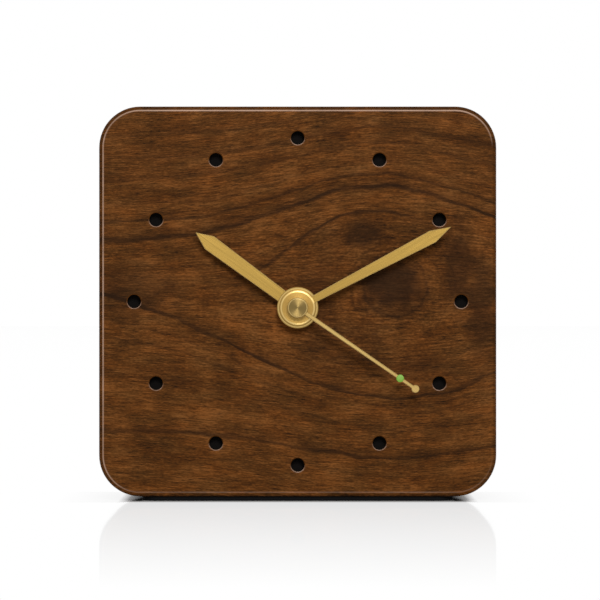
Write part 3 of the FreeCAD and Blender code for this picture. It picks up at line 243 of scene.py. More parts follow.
class ClockKnobSizes(bpy.types.PropertyGroup):
    """Sizes of the setting knob."""

    diameter: length("Diameter", 12.0, "Diameter of the knob")
    edge: length("Edge", 0.5, "Width of the broken edge round the knob")
    rim: length("Rim", 8.6, "Diameter of the dish in the knob's face")
    dish: length("Dish", 0.4, "Depth of the dish")
    bore: length("Bore", 2.42, "Diameter of the hole for the setting arbor")
    bore_depth: length("Bore depth", 2.21, "Depth of the hole for the setting arbor")
    grooves: count("Grooves", 24, "How many grip grooves the knob has")
    groove_radius: length("Groove radius", 0.5, "Radius of a grip groove")
    groove_rim: length("Groove rim", 0.1, "Width of the broken edge of a groove")


class ClockMarkSizes(bpy.types.PropertyGroup):
    """Sizes of the raised marks on the movement's back cover."""

    arrow_radius: length("Arrow radius", 8.6, "Radius of the setting arrow about the knob")
    stroke: length("Stroke", 0.6, "Width of the strokes")
    sign: length("Sign", 2.4, "Width of the plus and minus signs")
    height: length("Height", 0.2, "How far the marks stand out")
    inset: length("Inset", 2.3, "From the cover's left or right end to the middle of a sign")
    lift: length("Lift", 2.0, "From the cover's lower edge to the middle of a sign")


class ClockColours(bpy.types.PropertyGroup):
    """Colours of the clock."""

    wood: colour("Wood", 87, 50, 15, "Middle tone of the walnut")
    wood_dark: colour("Dark wood", 32, 16, 3, "Streaks and growth lines of the walnut")
    wood_light: colour("Light wood", 134, 82, 36, "Lighter figure of the walnut")
    # a painted highlight colour for the thin line on the block's top and left edges and for the lower rims
    # of the hour marks
    wood_highlight: colour("Worn wood", 205, 172, 150, "Thin line where the block's edge is rubbed")
    brass: colour("Brass", 170, 138, 70, "Polished and brushed brass")
    pale_brass: colour("Pale brass", 190, 160, 98, "Seconds hand")
    # a paler tint whose line along the hands' cut edges is a painted highlight
    brass_edge_highlight: colour("Edge brass", 196, 164, 98, "Cut edges of the hour hand and the minute hand")
    # a painted highlight colour for bands on the hub's rims and the cap's edge
    brass_highlight: colour("Polished brass", 206, 176, 112, "Polished rims of the hub")
    cap_brass: colour("Cap brass", 125, 105, 63, "Turned face of the cap")
    turned_brass: colour("Turned brass", 160, 128, 68, "Turned rings of the hub")
    lume: colour("Lume", 128, 178, 62, "Luminous dot on the seconds hand")
    pad: colour("Pad", 12, 12, 13, "Pad under the block")
    movement: colour("Movement", 30, 31, 33, "Moulded housing of the movement")


GROUPS = {
    "clock_block": ClockBlockSizes,
    "clock_pad": ClockPadSizes,
    "clock_hour_hand": ClockHourHandSizes,
    "clock_minute_hand": ClockMinuteHandSizes,
    "clock_seconds_hand": ClockSecondsHandSizes,
    "clock_cap": ClockCapSizes,
    "clock_knob": ClockKnobSizes,
    "clock_marks": ClockMarkSizes,
    "clock_colours": ClockColours,
}


# ---------------------------------------------------------------- node building

class Value:
    """What a node gives at each point. Arithmetic on it adds math nodes to its tree."""

    def __init__(self, socket):
        self.socket = socket
        self.tree = socket.id_data

    def __add__(self, other):
        return maths("ADD", self, other)

    def __sub__(self, other):
        return maths("SUBTRACT", self, other)

    def __rsub__(self, other):
        return maths("SUBTRACT", other, self)

    def __mul__(self, other):
        return maths("MULTIPLY", self, other)

    def __truediv__(self, other):
        return maths("DIVIDE", self, other)

    def __abs__(self):
        return maths("ABSOLUTE", self)


def plug(socket, value):
    """Sets a socket to a value, or links what another node gives to it."""
    if isinstance(value, Value):
        value.tree.links.new(value.socket, socket)
    elif socket.type == "RGBA" and len(value) == 3:
        socket.default_value = (*value, 1.0)
    else:
        socket.default_value = value


def new_node(tree, kind, inputs=None, **settings):
    """Adds a node, sets it up and plugs in its inputs, which are given by name or number."""
    made = tree.nodes.new(kind)
    for name, setting in settings.items():
        setattr(made, name, setting)
    for key, value in (inputs or {}).items():
        plug(made.inputs[key], value)
    return made


def add(tree, kind, inputs=None, output=0, **settings):
    """Adds a node and gives what comes out of one of its outputs."""
    return Value(new_node(tree, kind, inputs, **settings).outputs[output])


def tree_of(*values):
    """The node tree of the first of the values that comes from a node."""
    return next(value.tree for value in values if isinstance(value, Value))


def maths(operation, *values):
    """The result of a math node."""
    return add(tree_of(*values), "ShaderNodeMath", dict(enumerate(values)), operation=operation)


def vector_maths(operation, *values):
    """The vector result of a vector math node."""
    return add(tree_of(*values), "ShaderNodeVectorMath", dict(enumerate(values)), operation=operation)


def largest(value, *others):
    """The largest of some values."""
    for other in others:
        value = maths("MAXIMUM", value, other)
    return value


def span(across, up):
    """The straight distance that a step across and a step up make together."""
    return maths("SQRT", across * across + up * up)


def remap(value, low, high, new_low, new_high, smooth=False):
    """Takes a value from one range to another, held at the ends."""
    return add(value.tree, "ShaderNodeMapRange", {0: value, 1: low, 2: high, 3: new_low, 4: new_high},
               interpolation_type="SMOOTHSTEP" if smooth else "LINEAR")


def rising(value, low, high):
    """0 up to a low value and 1 from a high one."""
    return remap(value, low, high, 0.0, 1.0)


def falling(value, low, high):
    """1 up to a low value and 0 from a high one."""
    return remap(value, low, high, 1.0, 0.0)


def centred(value, reach):
    """Noise of 0 to 1 as a shift of up to half the reach each way."""
    return maths("MULTIPLY_ADD", value, reach, -reach / 2)


def blend_colours(share, low, high, mode="MIX"):
    """Two colours mixed by a share of 0 to 1."""
    return add(tree_of(share, low, high), "ShaderNodeMix", {0: share, 6: low, 7: high}, output=2,
               data_type="RGBA", blend_type=mode)


def darker(tint, red, green, blue):
    """A colour with only a share of its red, green and blue."""
    return tint[0] * red, tint[1] * green, tint[2] * blue


def noise(place, scale, detail=2.0, roughness=0.5):
    """Fractal noise of 0 to 1 at a place."""
    inputs = {"Vector": place, "Scale": scale, "Detail": detail, "Roughness": roughness}
    return add(place.tree, "ShaderNodeTexNoise", inputs, output="Fac")


def stretched(place, along, across, deep):
    """A place with its three directions divided by a grain's length, width and depth."""
    return vector_maths("DIVIDE", place, (along, deep, across))


def grain(place, along, across, deep, detail=2.0, roughness=0.5):
    """Noise of 0 to 1 whose grains have a length, a width and a depth in millimetres."""
    return noise(stretched(place, along, across, deep), 1.0, detail, roughness)


def millimetres_from(tree, centre, turn=0.0):
    """The place on a piece in millimetres from a centre, turned about the depth axis."""
    place = add(tree, "ShaderNodeTexCoord", output="Object")
    return add(tree, "ShaderNodeMapping",
               {"Vector": place, "Location": centre, "Rotation": (0.0, turn, 0.0), "Scale": (MM, MM, MM)},
               vector_type="TEXTURE")


def split(vector):
    """The x, y and z of a vector."""
    return [Value(output) for output in new_node(vector.tree, "ShaderNodeSeparateXYZ", {0: vector}).outputs]


def bump(height, distance, strength=1.0):
    """A normal from a height of 0 to 1 that stands for a distance in millimetres."""
    inputs = {"Height": height, "Distance": distance * MM, "Strength": strength}
    return add(height.tree, "ShaderNodeBump", inputs)


def give(shader, **sockets):
    """Sets a shader's sockets, whose names are written with _ for a space."""
    for name, value in sockets.items():
        plug(shader.inputs[name.replace("_", " ")], value)


def new_material(name, **sockets):
    """A material with its shader's own sockets set. Gives the material, its tree and its shader."""
    material = bpy.data.materials.new(name)
    material.use_nodes = True
    tree = material.node_tree
    shader = tree.nodes["Principled BSDF"]
    give(shader, **sockets)
    return material, tree, shader


# ---------------------------------------------------------------- walnut

# The growth lines arch over and under the knot, in millimetres from the middle of the block. An arch
# rises above its base at its middle and spreads to the left and right. Its lines flatten out over the
# distance "fade". Each line has its distance outside the arch, the half width of its core, the width of
# its soft side and its darkness. The soft side is the outer one where "soft" is 1, the inner one at -1.
Arch = namedtuple("Arch", "base rise middle left right fade soft lines")

UPPER_ARCH = Arch(
    base=15.5, rise=14.5, middle=21.0, left=23.7, right=22.0, fade=25.0, soft=1.0,
    lines=((0.0, 0.75, 3.6, 1.0), (4.6, 0.55, 2.6, 0.75), (9.0, 0.5, 3.0, 0.35), (15.5, 0.5, 4.0, 0.45),
           (21.0, 0.6, 3.0, 0.5), (27.0, 0.5, 3.0, 0.4)))
LOWER_ARCH = Arch(
    base=6.0, rise=-31.0, middle=25.0, left=38.0, right=36.0, fade=11.0, soft=-1.0,
    lines=((0.0, 0.75, 3.6, 1.0), (8.0, 0.5, 3.0, 0.4), (14.0, 0.5, 3.0, 0.4), (24.0, 0.5, 4.0, 0.35),
           (38.5, 0.65, 3.0, 0.85)))
INNER_ARCH = Arch(
    base=-2.0, rise=25.5, middle=19.0, left=21.5, right=26.0, fade=8.0, soft=1.0,
    lines=((0.0, 0.75, 2.8, 0.9),))

# middle across and up, reach across and up, darkness
SMOKY_PATCHES = (
    (24.0, 4.2, 11.0, 9.4, 1.0), (25.5, 4.6, 6.4, 5.6, 0.65), (17.0, 17.0, 6.0, 5.0, 0.8),
    (5.0, 1.0, 6.0, 10.0, 0.45), (12.0, -11.0, 14.0, 7.0, 0.3), (41.0, 8.0, 4.4, 16.0, 0.75),
    (47.0, -2.0, 5.0, 18.0, 0.75), (-42.0, 3.0, 14.0, 9.0, 0.55), (30.0, -17.0, 13.0, 4.0, 0.35),
    (9.0, 15.0, 7.0, 8.0, 0.2))

# the knot's middle across and up and its reach; its rings' distance out, half width and darkness
KNOT = (24.8, 4.2, 8.2, 7.8)
KNOT_RINGS = ((1.0, 0.09, 0.6), (1.42, 0.07, 0.35), (1.85, 0.07, 0.25))

# the figure's layers: length, width and depth of their grains, their detail and their weight
FIGURE = (
    (45.0, 3.2, 60.0, 3.0, 0.7), (14.0, 8.0, 20.0, 3.0, 1.0), (12.0, 0.7, 12.0, 2.0, 0.65),
    (3.6, 0.28, 3.6, 3.0, 1.45), (0.9, 0.2, 0.9, 1.0, 0.9))


def bell(x, middle_x, left, right):
    """A bell curve with its own spread on each side of its middle."""
    aside = x - middle_x
    share = aside / maths("MULTIPLY_ADD", maths("LESS_THAN", aside, 0.0), left - right, right)
    return maths("EXPONENT", share * share * -0.5)


def outside_arch(x, z, arch):
    """How far a place lies outside an arch of the growth figure."""
    side = math.copysign(1.0, arch.rise)
    curve = bell(x, arch.middle, arch.left, arch.right) * arch.rise
    level = z - arch.base
    first = largest((level - curve) * side, 0.0)
    return (level - curve * maths("EXPONENT", first / -arch.fade)) * side


def growth_lines(x, z, arch, uneven):
    """The darkness of an arch's lines. Each has a fine core and fades away on its soft side."""
    across = outside_arch(x, z, arch)
    dark = 0.0
    for position, half_width, soft_width, darkness in arch.lines:
        away = (across - position) * arch.soft
        core = remap(abs(away) / uneven, half_width * 0.3, half_width * 1.5, darkness, 0.0, smooth=True)
        soft_side = remap(away / uneven, 0.0, soft_width, darkness * 0.5, 0.0)
        dark = maths("MAXIMUM", dark, largest(core, rising(away, -half_width, 0.0) * soft_side))
    return dark


def out_of(x, z, patch, wander):
    """How far a place is from a patch's middle, with 1 at its reach, and an uneven outline."""
    middle_x, middle_z, reach_x, reach_z = patch
    return span((x - middle_x) / reach_x, (z - middle_z) / reach_z) + wander


def knot_rings(x, z, wander):
    """The darkness of the fine rings round the knot."""
    away = out_of(x, z, KNOT, wander * 0.4)
    dark = 0.0
    for position, half_width, darkness in KNOT_RINGS:
        ring = remap(abs(away - position), 0.0, half_width, darkness, 0.0, smooth=True)
        dark = maths("MAXIMUM", dark, ring)
    return dark


def smoke(x, z, wander):
    """The darkness of the smoky patches in and round the knot."""
    dark = 0.0
    for *patch, darkness in SMOKY_PATCHES:
        cloud = remap(out_of(x, z, patch, wander), 0.35, 1.15, darkness, 0.0, smooth=True)
        dark = cloud * (1.0 - dark) + dark
    return dark


def growth_figure(place, x, level, strength, uneven):
    """The darkness of all the growth lines, which waver slowly and quickly."""
    slow = centred(grain(place, 30.0, 12.0, 60.0), 3.0)
    quick = centred(grain(place, 7.0, 3.0, 30.0), 1.6)
    bent = level + (slow + quick)
    # the inner arch's line shows only round its top
    inside = rising(x, -20.0, -8.0) * falling(x, 24.0, 36.0)
    upper = growth_lines(x, bent, UPPER_ARCH, uneven)
    lower = growth_lines(x, bent, LOWER_ARCH, uneven)
    inner = growth_lines(x, bent, INNER_ARCH, uneven) * inside
    return largest(upper, lower, inner) * strength


def along_the_fibres(x, y, level):
    """The place that the figure is read at. The fibres run sideways and lean a little with the arches."""
    high = remap(level, 4.0, 24.0, 0.0, 6.0, smooth=True)
    low = remap(level, 4.0, -16.0, 0.0, 6.0, smooth=True)
    lean = bell(x, 21.0, 26.0, 28.0) * high - bell(x, 25.0, 34.0, 30.0) * low
    return add(level.tree, "ShaderNodeCombineXYZ", {0: x, 1: y, 2: level - lean})


def open_pores(run):
    """Where the short open pores lie, which keep to lanes along the fibres."""
    inputs = {"Vector": stretched(run, 3.4, 0.42, 3.4), "Scale": 1.0, "Randomness": 1.0}
    away = add(run.tree, "ShaderNodeTexVoronoi", inputs, output="Distance")
    lanes = grain(run, 12.0, 2.4, 12.0)
    return falling(away, 0.15, 0.32) * remap(lanes, 0.40, 0.60, 0.1, 1.0)


def edge_light_paint(x, y, z, uneven):
    """How far the front's rounded edge gets a painted shade band on its outer part, and a thin painted
    highlight line inside that.
    """
    corner = bpy.context.scene.clock_block.corner_radius / MM
    half = half_size("wooden_case") / MM
    past_x = largest(abs(x) - (half.x - corner), 0.0)
    past_z = largest(abs(z) - (half.z - corner), 0.0)
    out = span(past_x, past_z)
    # how far in from the block's outline, in millimetres
    inset = corner - out
    # how far the edge faces right and up, from 1 to -1: the painted highlight is strongest on the top, then
    # on the left side, and faint along the bottom
    right = past_x / out * maths("SIGN", x)
    top = past_z / out * maths("SIGN", z)
    highlight_side = largest(top, right * -0.8, top * -0.25)
    # painted shade on the outer part of the round, on the front only and left off the bottom edge
    painted_edge_shade = remap(inset, 0.65, 1.05, 0.3, 0.0) * falling(y, 1.5, 3.0) * rising(top, -1.0, -0.5)
    # a thin painted highlight line just inside the painted shade
    line = rising(inset, 0.85, 0.98) * falling(inset, 1.1, 1.35) * remap(y, 0.6, 1.0, 0.8, 0.0)
    return painted_edge_shade, line * (highlight_side * uneven)


def walnut():
    """Oiled walnut with its growth lines, dark streaks, pores and a smoky knot, and painted shade and a
    painted highlight along its front edge.
    """
    colours = bpy.context.scene.clock_colours
    material, tree, shader = new_material("walnut_oiled", IOR=1.5, Specular_IOR_Level=0.06)
    place = millimetres_from(tree, CASE_MIDDLE)
    x, y, z = split(place)
    # the growth layers slope down towards the back
    level = maths("MULTIPLY_ADD", y, 0.35, z)
    uneven = remap(grain(place, 12.0, 5.0, 20.0), 0.3, 0.7, 0.6, 1.5)
    strength = remap(grain(place, 18.0, 8.0, 30.0), 0.35, 0.6, 0.7, 1.0)
    wander = centred(grain(place, 7.0, 5.0, 20.0, 3.0, 0.6), 1.1)
    run = along_the_fibres(x, y, level)
    pores = open_pores(run)
    tone = 0.5
    for along, across, deep, detail, weight in FIGURE:
        tone = centred(grain(run, along, across, deep, detail, 0.6), weight) + tone

    body = blend_colours(falling(tone, 0.0, 0.5), colours.wood, colours.wood_dark)
    body = blend_colours(rising(tone, 0.5, 1.0), body, colours.wood_light)
    warmth = rising(grain(run, 9.0, 3.0, 14.0), 0.3, 0.7)
    warm = blend_colours(warmth, (0.93, 1.0, 1.1), (1.09, 1.0, 0.84))
    body = blend_colours(1.0, body, warm, "MULTIPLY")
    # painted shade on the outer band of the front's rounded edge, and a painted highlight line inside it
    painted_edge_shade, painted_edge_highlight = edge_light_paint(x, y, z, strength)
    for share in (smoke(x, level, wander) * 0.85,
                  knot_rings(x, level, wander) * uneven * 0.7,
                  growth_figure(place, x, level, strength, uneven) * 0.86,
                  pores * 0.7,
                  painted_edge_shade):
        body = blend_colours(share, body, colours.wood_dark)
    body = blend_colours(painted_edge_highlight, body, colours.wood_highlight)

    give(shader, Base_Color=body, Roughness=remap(tone, 0.2, 0.8, 0.68, 0.58),
         Normal=bump(tone * 0.5 - pores, 0.03, 0.5))
    return material


def stained_wood():
    """The black-stained inside of the hour marks."""
    material, tree, shader = new_material("hour_mark_stain", Roughness=0.8, Specular_IOR_Level=0.1)
    fibres = grain(millimetres_from(tree, CASE_MIDDLE), 1.2, 0.2, 1.2, 3.0)
    give(shader, Base_Color=blend_colours(fibres, (0.002, 0.0015, 0.0015), (0.006, 0.004, 0.003)))
    return material


def rim_highlight_paint():
    """The broken edge round the hour marks, with a painted highlight along its lower side."""
    colours = bpy.context.scene.clock_colours
    sizes = bpy.context.scene.clock_block
    material, tree, shader = new_material("hour_mark_rim", Roughness=0.5, Specular_IOR_Level=0.06)
    place = millimetres_from(tree, CASE_MIDDLE)
    x, _, z = split(place)
    step = math.tau / sizes.marks
    nearest = maths("ROUND", maths("ARCTAN2", x, z) / step)
    mark_z = maths("COSINE", nearest * step) * (sizes.ring_radius / MM)
    below = (mark_z - z) / (sizes.mark_radius / MM)
    fibres = grain(place, 2.0, 0.3, 2.0, 3.0)
    # the painted highlight along each mark's lower side, broken up by the fibres
    painted_highlight = rising(below, -0.1, 0.8) * remap(fibres, 0.35, 0.65, 0.25, 0.6)
    give(shader, Base_Color=blend_colours(painted_highlight, colours.wood, colours.wood_highlight))
    return material


# ---------------------------------------------------------------- metals and plastics

def in_the_world(tree, direction):
    """A direction on a piece as it stands once the piece has turned."""
    return add(tree, "ShaderNodeVectorTransform", {0: direction}, vector_type="VECTOR",
               convert_from="OBJECT", convert_to="WORLD")


def turned_metal(name, tint, centre, highlight_band=None, roughness=0.36, spread=0.6, ring=0.12):
    """Metal with the fine rings of a lathe about an axis, and a paler tint on a rim band as a painted
    highlight.
    """
    material, tree, shader = new_material(name, Metallic=1.0, Roughness=roughness, Anisotropic=spread)
    place = millimetres_from(tree, centre)
    x, y, z = split(place)
    out = span(x, z)
    rings = add(tree, "ShaderNodeTexNoise", {"W": (out + y) / ring, "Scale": 1.0, "Detail": 2.0},
                output="Fac", noise_dimensions="1D")
    body = blend_colours(rings, darker(tint, 0.86, 0.84, 0.8), tint)
    if highlight_band:
        inner, outer = highlight_band
        # the rim band's paler tint is a painted highlight
        rim = rising(out, inner - 0.1, inner + 0.05) * falling(out, outer - 0.05, outer + 0.1)
        body = blend_colours(rim, body, bpy.context.scene.clock_colours.brass_highlight)
    outwards = vector_maths("NORMALIZE", vector_maths("MULTIPLY", place, (1.0, 0.0, 1.0)))
    give(shader, Base_Color=body, Normal=bump(rings, 0.004), Tangent=in_the_world(tree, outwards))
    return material


def brushed_metal(name, tint, turn):
    """Metal brushed along one direction, given as a turn clockwise from straight up."""
    material, tree, shader = new_material(name, Metallic=1.0, Anisotropic=0.5)
    lines = grain(millimetres_from(tree, HUB, turn), 0.09, 9.0, 0.09, 2.0, 0.6)
    give(shader, Base_Color=blend_colours(lines, darker(tint, 0.84, 0.82, 0.78), tint),
         Roughness=remap(lines, 0.3, 0.7, 0.28, 0.16), Normal=bump(lines, 0.0015),
         Tangent=in_the_world(tree, (math.cos(turn), 0.0, -math.sin(turn))))
    return material


def plain_metal(name, tint, roughness=0.32):
    """Sheet or drawn metal with a faint rolled grain."""
    material, tree, shader = new_material(name, Metallic=1.0)
    rolled = grain(millimetres_from(tree, HUB), 3.0, 0.15, 3.0, 3.0)
    give(shader, Base_Color=blend_colours(rolled, darker(tint, 0.85, 0.85, 0.85), tint),
         Roughness=remap(rolled, 0.3, 0.7, roughness + 0.06, roughness - 0.05))
    return material


def moulded_plastic(name, tint, roughness, spark, **sockets):
    """Moulded plastic with a fine spark-eroded grain of a size in millimetres."""
    material, tree, shader = new_material(name, IOR=1.46, **sockets)
    place = millimetres_from(tree, HUB)
    texture = noise(place, 1.0 / spark, 3.0, 0.6)
    give(shader, Base_Color=blend_colours(noise(place, 0.08), darker(tint, 0.82, 0.82, 0.82), tint),
         Roughness=remap(texture, 0.3, 0.7, roughness - 0.05, roughness + 0.07),
         Normal=bump(texture, 0.008))
    return material


def wound_wire(name, tint, wire=0.12):
    """Fine enamelled wire wound about the sideways axis, with painted shade in the grooves between its
    turns.
    """
    material, tree, shader = new_material(name, Metallic=0.85, Roughness=0.3)
    place = millimetres_from(tree, HUB)
    turns = abs(maths("SINE", split(place)[0] * (math.pi / wire)))
    share = turns * remap(noise(place, 0.9), 0.3, 0.7, 0.7, 1.0)
    # the darker tint between the turns is painted shade
    give(shader, Base_Color=blend_colours(share, darker(tint, 0.45, 0.4, 0.4), tint),
         Normal=bump(turns, 0.05))
    return material


def cell_sleeve():
    """The printed plastic sleeve of a plain cell: a dark body with a paler band at the positive end."""
    material, tree, shader = new_material("cell_sleeve_finish", IOR=1.5, Roughness=0.28)
    place = millimetres_from(tree, middle("battery"))
    half = half_size("battery").x / MM
    band = rising(split(place)[0], half * 0.52, half * 0.53)
    wrinkle = grain(place, 6.0, 1.2, 1.2)
    dark = blend_colours(wrinkle, (0.020, 0.045, 0.060), (0.028, 0.060, 0.078))
    pale = blend_colours(wrinkle, (0.48, 0.50, 0.50), (0.56, 0.58, 0.58))
    give(shader, Base_Color=blend_colours(band, dark, pale), Normal=bump(wrinkle, 0.02))
    return material


# ---------------------------------------------------------------- mesh building

def rounded_ring(half_x, half_z, radius, y, centre):
    """Points round a rounded rectangle that faces the front. With all three equal it is a circle."""
    points = []
    for quarter, (side_x, side_z) in enumerate(((1, 1), (-1, 1), (-1, -1), (1, -1))):
        for step in range(CORNER_STEPS + 1):
            angle = math.radians(90) * (quarter + step / CORNER_STEPS)
            points.append(Vector((
                centre.x + side_x * (half_x - radius) + radius * math.cos(angle), y,
                centre.z + side_z * (half_z - radius) + radius * math.sin(angle))))
    return points


def circle(radius, steps=LATHE_STEPS):
    """Pairs of steps from a circle's middle to the points round it."""
    angles = [math.tau * step / steps for step in range(steps)]
    return [(radius * math.cos(a), radius * math.sin(a)) for a in angles]


def quarter_arc(radius, steps=8):
    """Pairs of sine and cosine steps along a quarter of a circle, for the round of an edge."""
    angles = [math.radians(90) * step / steps for step in range(steps + 1)]
    return [(radius * math.sin(a), radius * math.cos(a)) for a in angles]


def skin(bm, rings, closed=False, material=0):
    """Faces between rings of points that follow one another."""
    rows = [[bm.verts.new(point) for point in ring] for ring in rings]
    for row, following in zip(rows, rows[1:] + rows[:1] if closed else rows[1:]):
        for i in range(len(row)):
            j = (i + 1) % len(row)
            face = bm.faces.new((row[i], row[j], following[j], following[i]))
            face.material_index = material


def extruded(outline, start, end):
    """A mesh drawn out from an outline along the depth axis, and the corners of its end."""
    bm = bmesh.new()
    face = bm.faces.new([bm.verts.new((x, start, z)) for x, z in outline])
    raised = bmesh.ops.extrude_face_region(bm, geom=[face])["geom"]
    corners = [part for part in raised if isinstance(part, bmesh.types.BMVert)]
    bmesh.ops.translate(bm, verts=corners, vec=(0.0, end - start, 0.0))
    return bm, corners


def lathe(name, profile, centre, materials, closed=False, steps=LATHE_STEPS, material=0):
    """A turned piece from pairs of radius and depth. An open profile starts and ends on the axis."""
    bm = bmesh.new()
    rings = [[Vector((centre.x + x, y, centre.z + z)) for x, z in circle(radius, steps)]
             for radius, y in profile]
    skin(bm, rings, closed, material)
    return build(name, bm, materials)


def build(name, bm, materials):
    """Turns the mesh into an object at the origin, with its doubles merged and its faces outwards."""
    bmesh.ops.remove_doubles(bm, verts=bm.verts, dist=DOUBLES)
    bmesh.ops.recalc_face_normals(bm, faces=bm.faces)
    mesh = bpy.data.meshes.new(name)
    bm.to_mesh(mesh)
    bm.free()
    for material in materials:
        mesh.materials.append(material)
    piece = bpy.data.objects.new(name, mesh)
    bpy.context.scene.collection.objects.link(piece)
    return piece


def bake(piece):
    """Makes the result of a piece's modifiers its mesh, and removes them."""
    graph = bpy.context.evaluated_depsgraph_get()
    mesh = bpy.data.meshes.new_from_object(piece.evaluated_get(graph), depsgraph=graph)
    piece.modifiers.clear()
    old = piece.data
    piece.data = mesh
    bpy.data.meshes.remove(old)
    piece.data.name = piece.name
    return piece


def shade(piece, degrees=32.0):
    """Smooth rounds and flat flats: edges sharper than the angle stay crisp."""
    piece.data.shade_smooth()
    piece.data.set_sharp_from_angle(angle=math.radians(degrees))
    flats = piece.modifiers.new("flats", "WEIGHTED_NORMAL")
    flats.keep_sharp = True
    return bake(piece)


def clean(piece):
    """Takes the slivers that cutting and joining leave out of a piece's mesh."""
    bm = bmesh.new()
    bm.from_mesh(piece.data)
    bmesh.ops.remove_doubles(bm, verts=bm.verts, dist=SLIVER)
    bmesh.ops.dissolve_degenerate(bm, edges=bm.edges, dist=SLIVER)
    bm.to_mesh(piece.data)
    bm.free()
    return piece


def join(piece, other):
    """Joins another solid to a piece, and removes the other."""
    modifier = piece.modifiers.new("union", "BOOLEAN")
    modifier.operation = "UNION"
    modifier.solver = "EXACT"
    modifier.object = other
    bake(piece)
    bpy.data.objects.remove(other)
    return clean(piece)


def settle(piece, body, slot, *nodes):
    """Puts a finished piece on its body, in place of the nodes that it stands for."""
    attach(piece, body)
    if nodes:
        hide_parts(*nodes)


def frame_slot(node):
    """The material slot that the frame gives a node."""
    return frame["nodes"][node].data.materials[0].name


# ---------------------------------------------------------------- the ring of cuts

CUT_INPUTS = {
    "Geometry": "Geometry", "Count": "Int", "Ring Radius": "Float", "Cut Radius": "Float",
    "Cut Depth": "Float", "Point Depth": "Float", "Rim Width": "Float", "Centre": "Vector",
    "Body Material": "Material", "Cut Material": "Material", "Rim Material": "Material",
}
CUT_SIDES = 40
FACING_FRONT = (math.radians(90), 0.0, 0.0)


def ring_of_cuts_tree():
    """A node tree that drills equal holes round a circle on the front of a piece."""
    tree = bpy.data.node_groups.new("ring_of_cuts", "GeometryNodeTree")
    for name, kind in CUT_INPUTS.items():
        tree.interface.new_socket(name=name, in_out="INPUT", socket_type="NodeSocket" + kind)
    tree.interface.new_socket(name="Geometry", in_out="OUTPUT", socket_type="NodeSocketGeometry")
    outputs = new_node(tree, "NodeGroupInput").outputs
    given = {name: Value(outputs[name]) for name in CUT_INPUTS}
    radius, depth, rim_width = given["Cut Radius"], given["Cut Depth"], given["Rim Width"]

    shaft = add(tree, "GeometryNodeMeshCylinder",
                {"Vertices": CUT_SIDES, "Radius": radius, "Depth": depth + OVERRUN})
    point = add(tree, "GeometryNodeMeshCone",
                {"Vertices": CUT_SIDES, "Radius Top": 0.0, "Radius Bottom": radius,
                 "Depth": given["Point Depth"] * -1.0})
    rim = add(tree, "GeometryNodeMeshCone",
              {"Vertices": CUT_SIDES, "Radius Top": radius + rim_width * 2.0, "Radius Bottom": radius,
               "Depth": rim_width * 2.0})
    cutters = (
        (shaft, (OVERRUN - depth) * 0.5, "Cut Material"),
        (point, depth * -1.0, "Cut Material"),
        (rim, rim_width * -1.0, "Rim Material"),
    )
    ring = add(tree, "GeometryNodeMeshCircle", {"Vertices": given["Count"], "Radius": given["Ring Radius"]})
    cut = new_node(tree, "GeometryNodeMeshBoolean", {"Mesh 1": given["Geometry"]}, operation="DIFFERENCE",
                   solver="EXACT")
    for cutter, up, material in cutters:
        offset = add(tree, "ShaderNodeCombineXYZ", {2: up})
        moved = add(tree, "GeometryNodeTransform", {"Geometry": cutter, "Translation": offset})
        painted = add(tree, "GeometryNodeSetMaterial", {"Geometry": moved, "Material": given[material]})
        placed = add(tree, "GeometryNodeInstanceOnPoints", {"Points": ring, "Instance": painted})
        real = add(tree, "GeometryNodeRealizeInstances", {"Geometry": placed})
        facing = add(tree, "GeometryNodeTransform",
                     {"Geometry": real, "Translation": given["Centre"], "Rotation": FACING_FRONT})
        plug(cut.inputs["Mesh 2"], facing)

    whole = add(tree, "GeometryNodeRealizeInstances", {"Geometry": Value(cut.outputs["Mesh"])})
    inside = add(tree, "GeometryNodeMaterialSelection", {"Material": given["Cut Material"]})
    on_rim = add(tree, "GeometryNodeMaterialSelection", {"Material": given["Rim Material"]})
    plain = add(tree, "FunctionNodeBooleanMath", {0: inside, 1: on_rim}, operation="NOR")
    result = add(tree, "GeometryNodeSetMaterial",
                 {"Geometry": whole, "Selection": plain, "Material": given["Body Material"]})
    new_node(tree, "NodeGroupOutput", {0: result})
    return tree


def cut_ring(piece, **values):
    """Cuts a ring of holes in a piece by the node tree, with its named inputs set, and bakes the result."""
    tree = ring_of_cuts_tree()
    modifier = piece.modifiers.new("ring_of_cuts", "NODES")
    modifier.node_group = tree
    inputs = [item for item in tree.interface.items_tree if item.in_out == "INPUT"]
    identifiers = {item.name: item.identifier for item in inputs}
    for name, value in values.items():
        modifier[identifiers[name.replace("_", " ")]] = value
    return clean(bake(piece))


# ---------------------------------------------------------------- the block and its pad

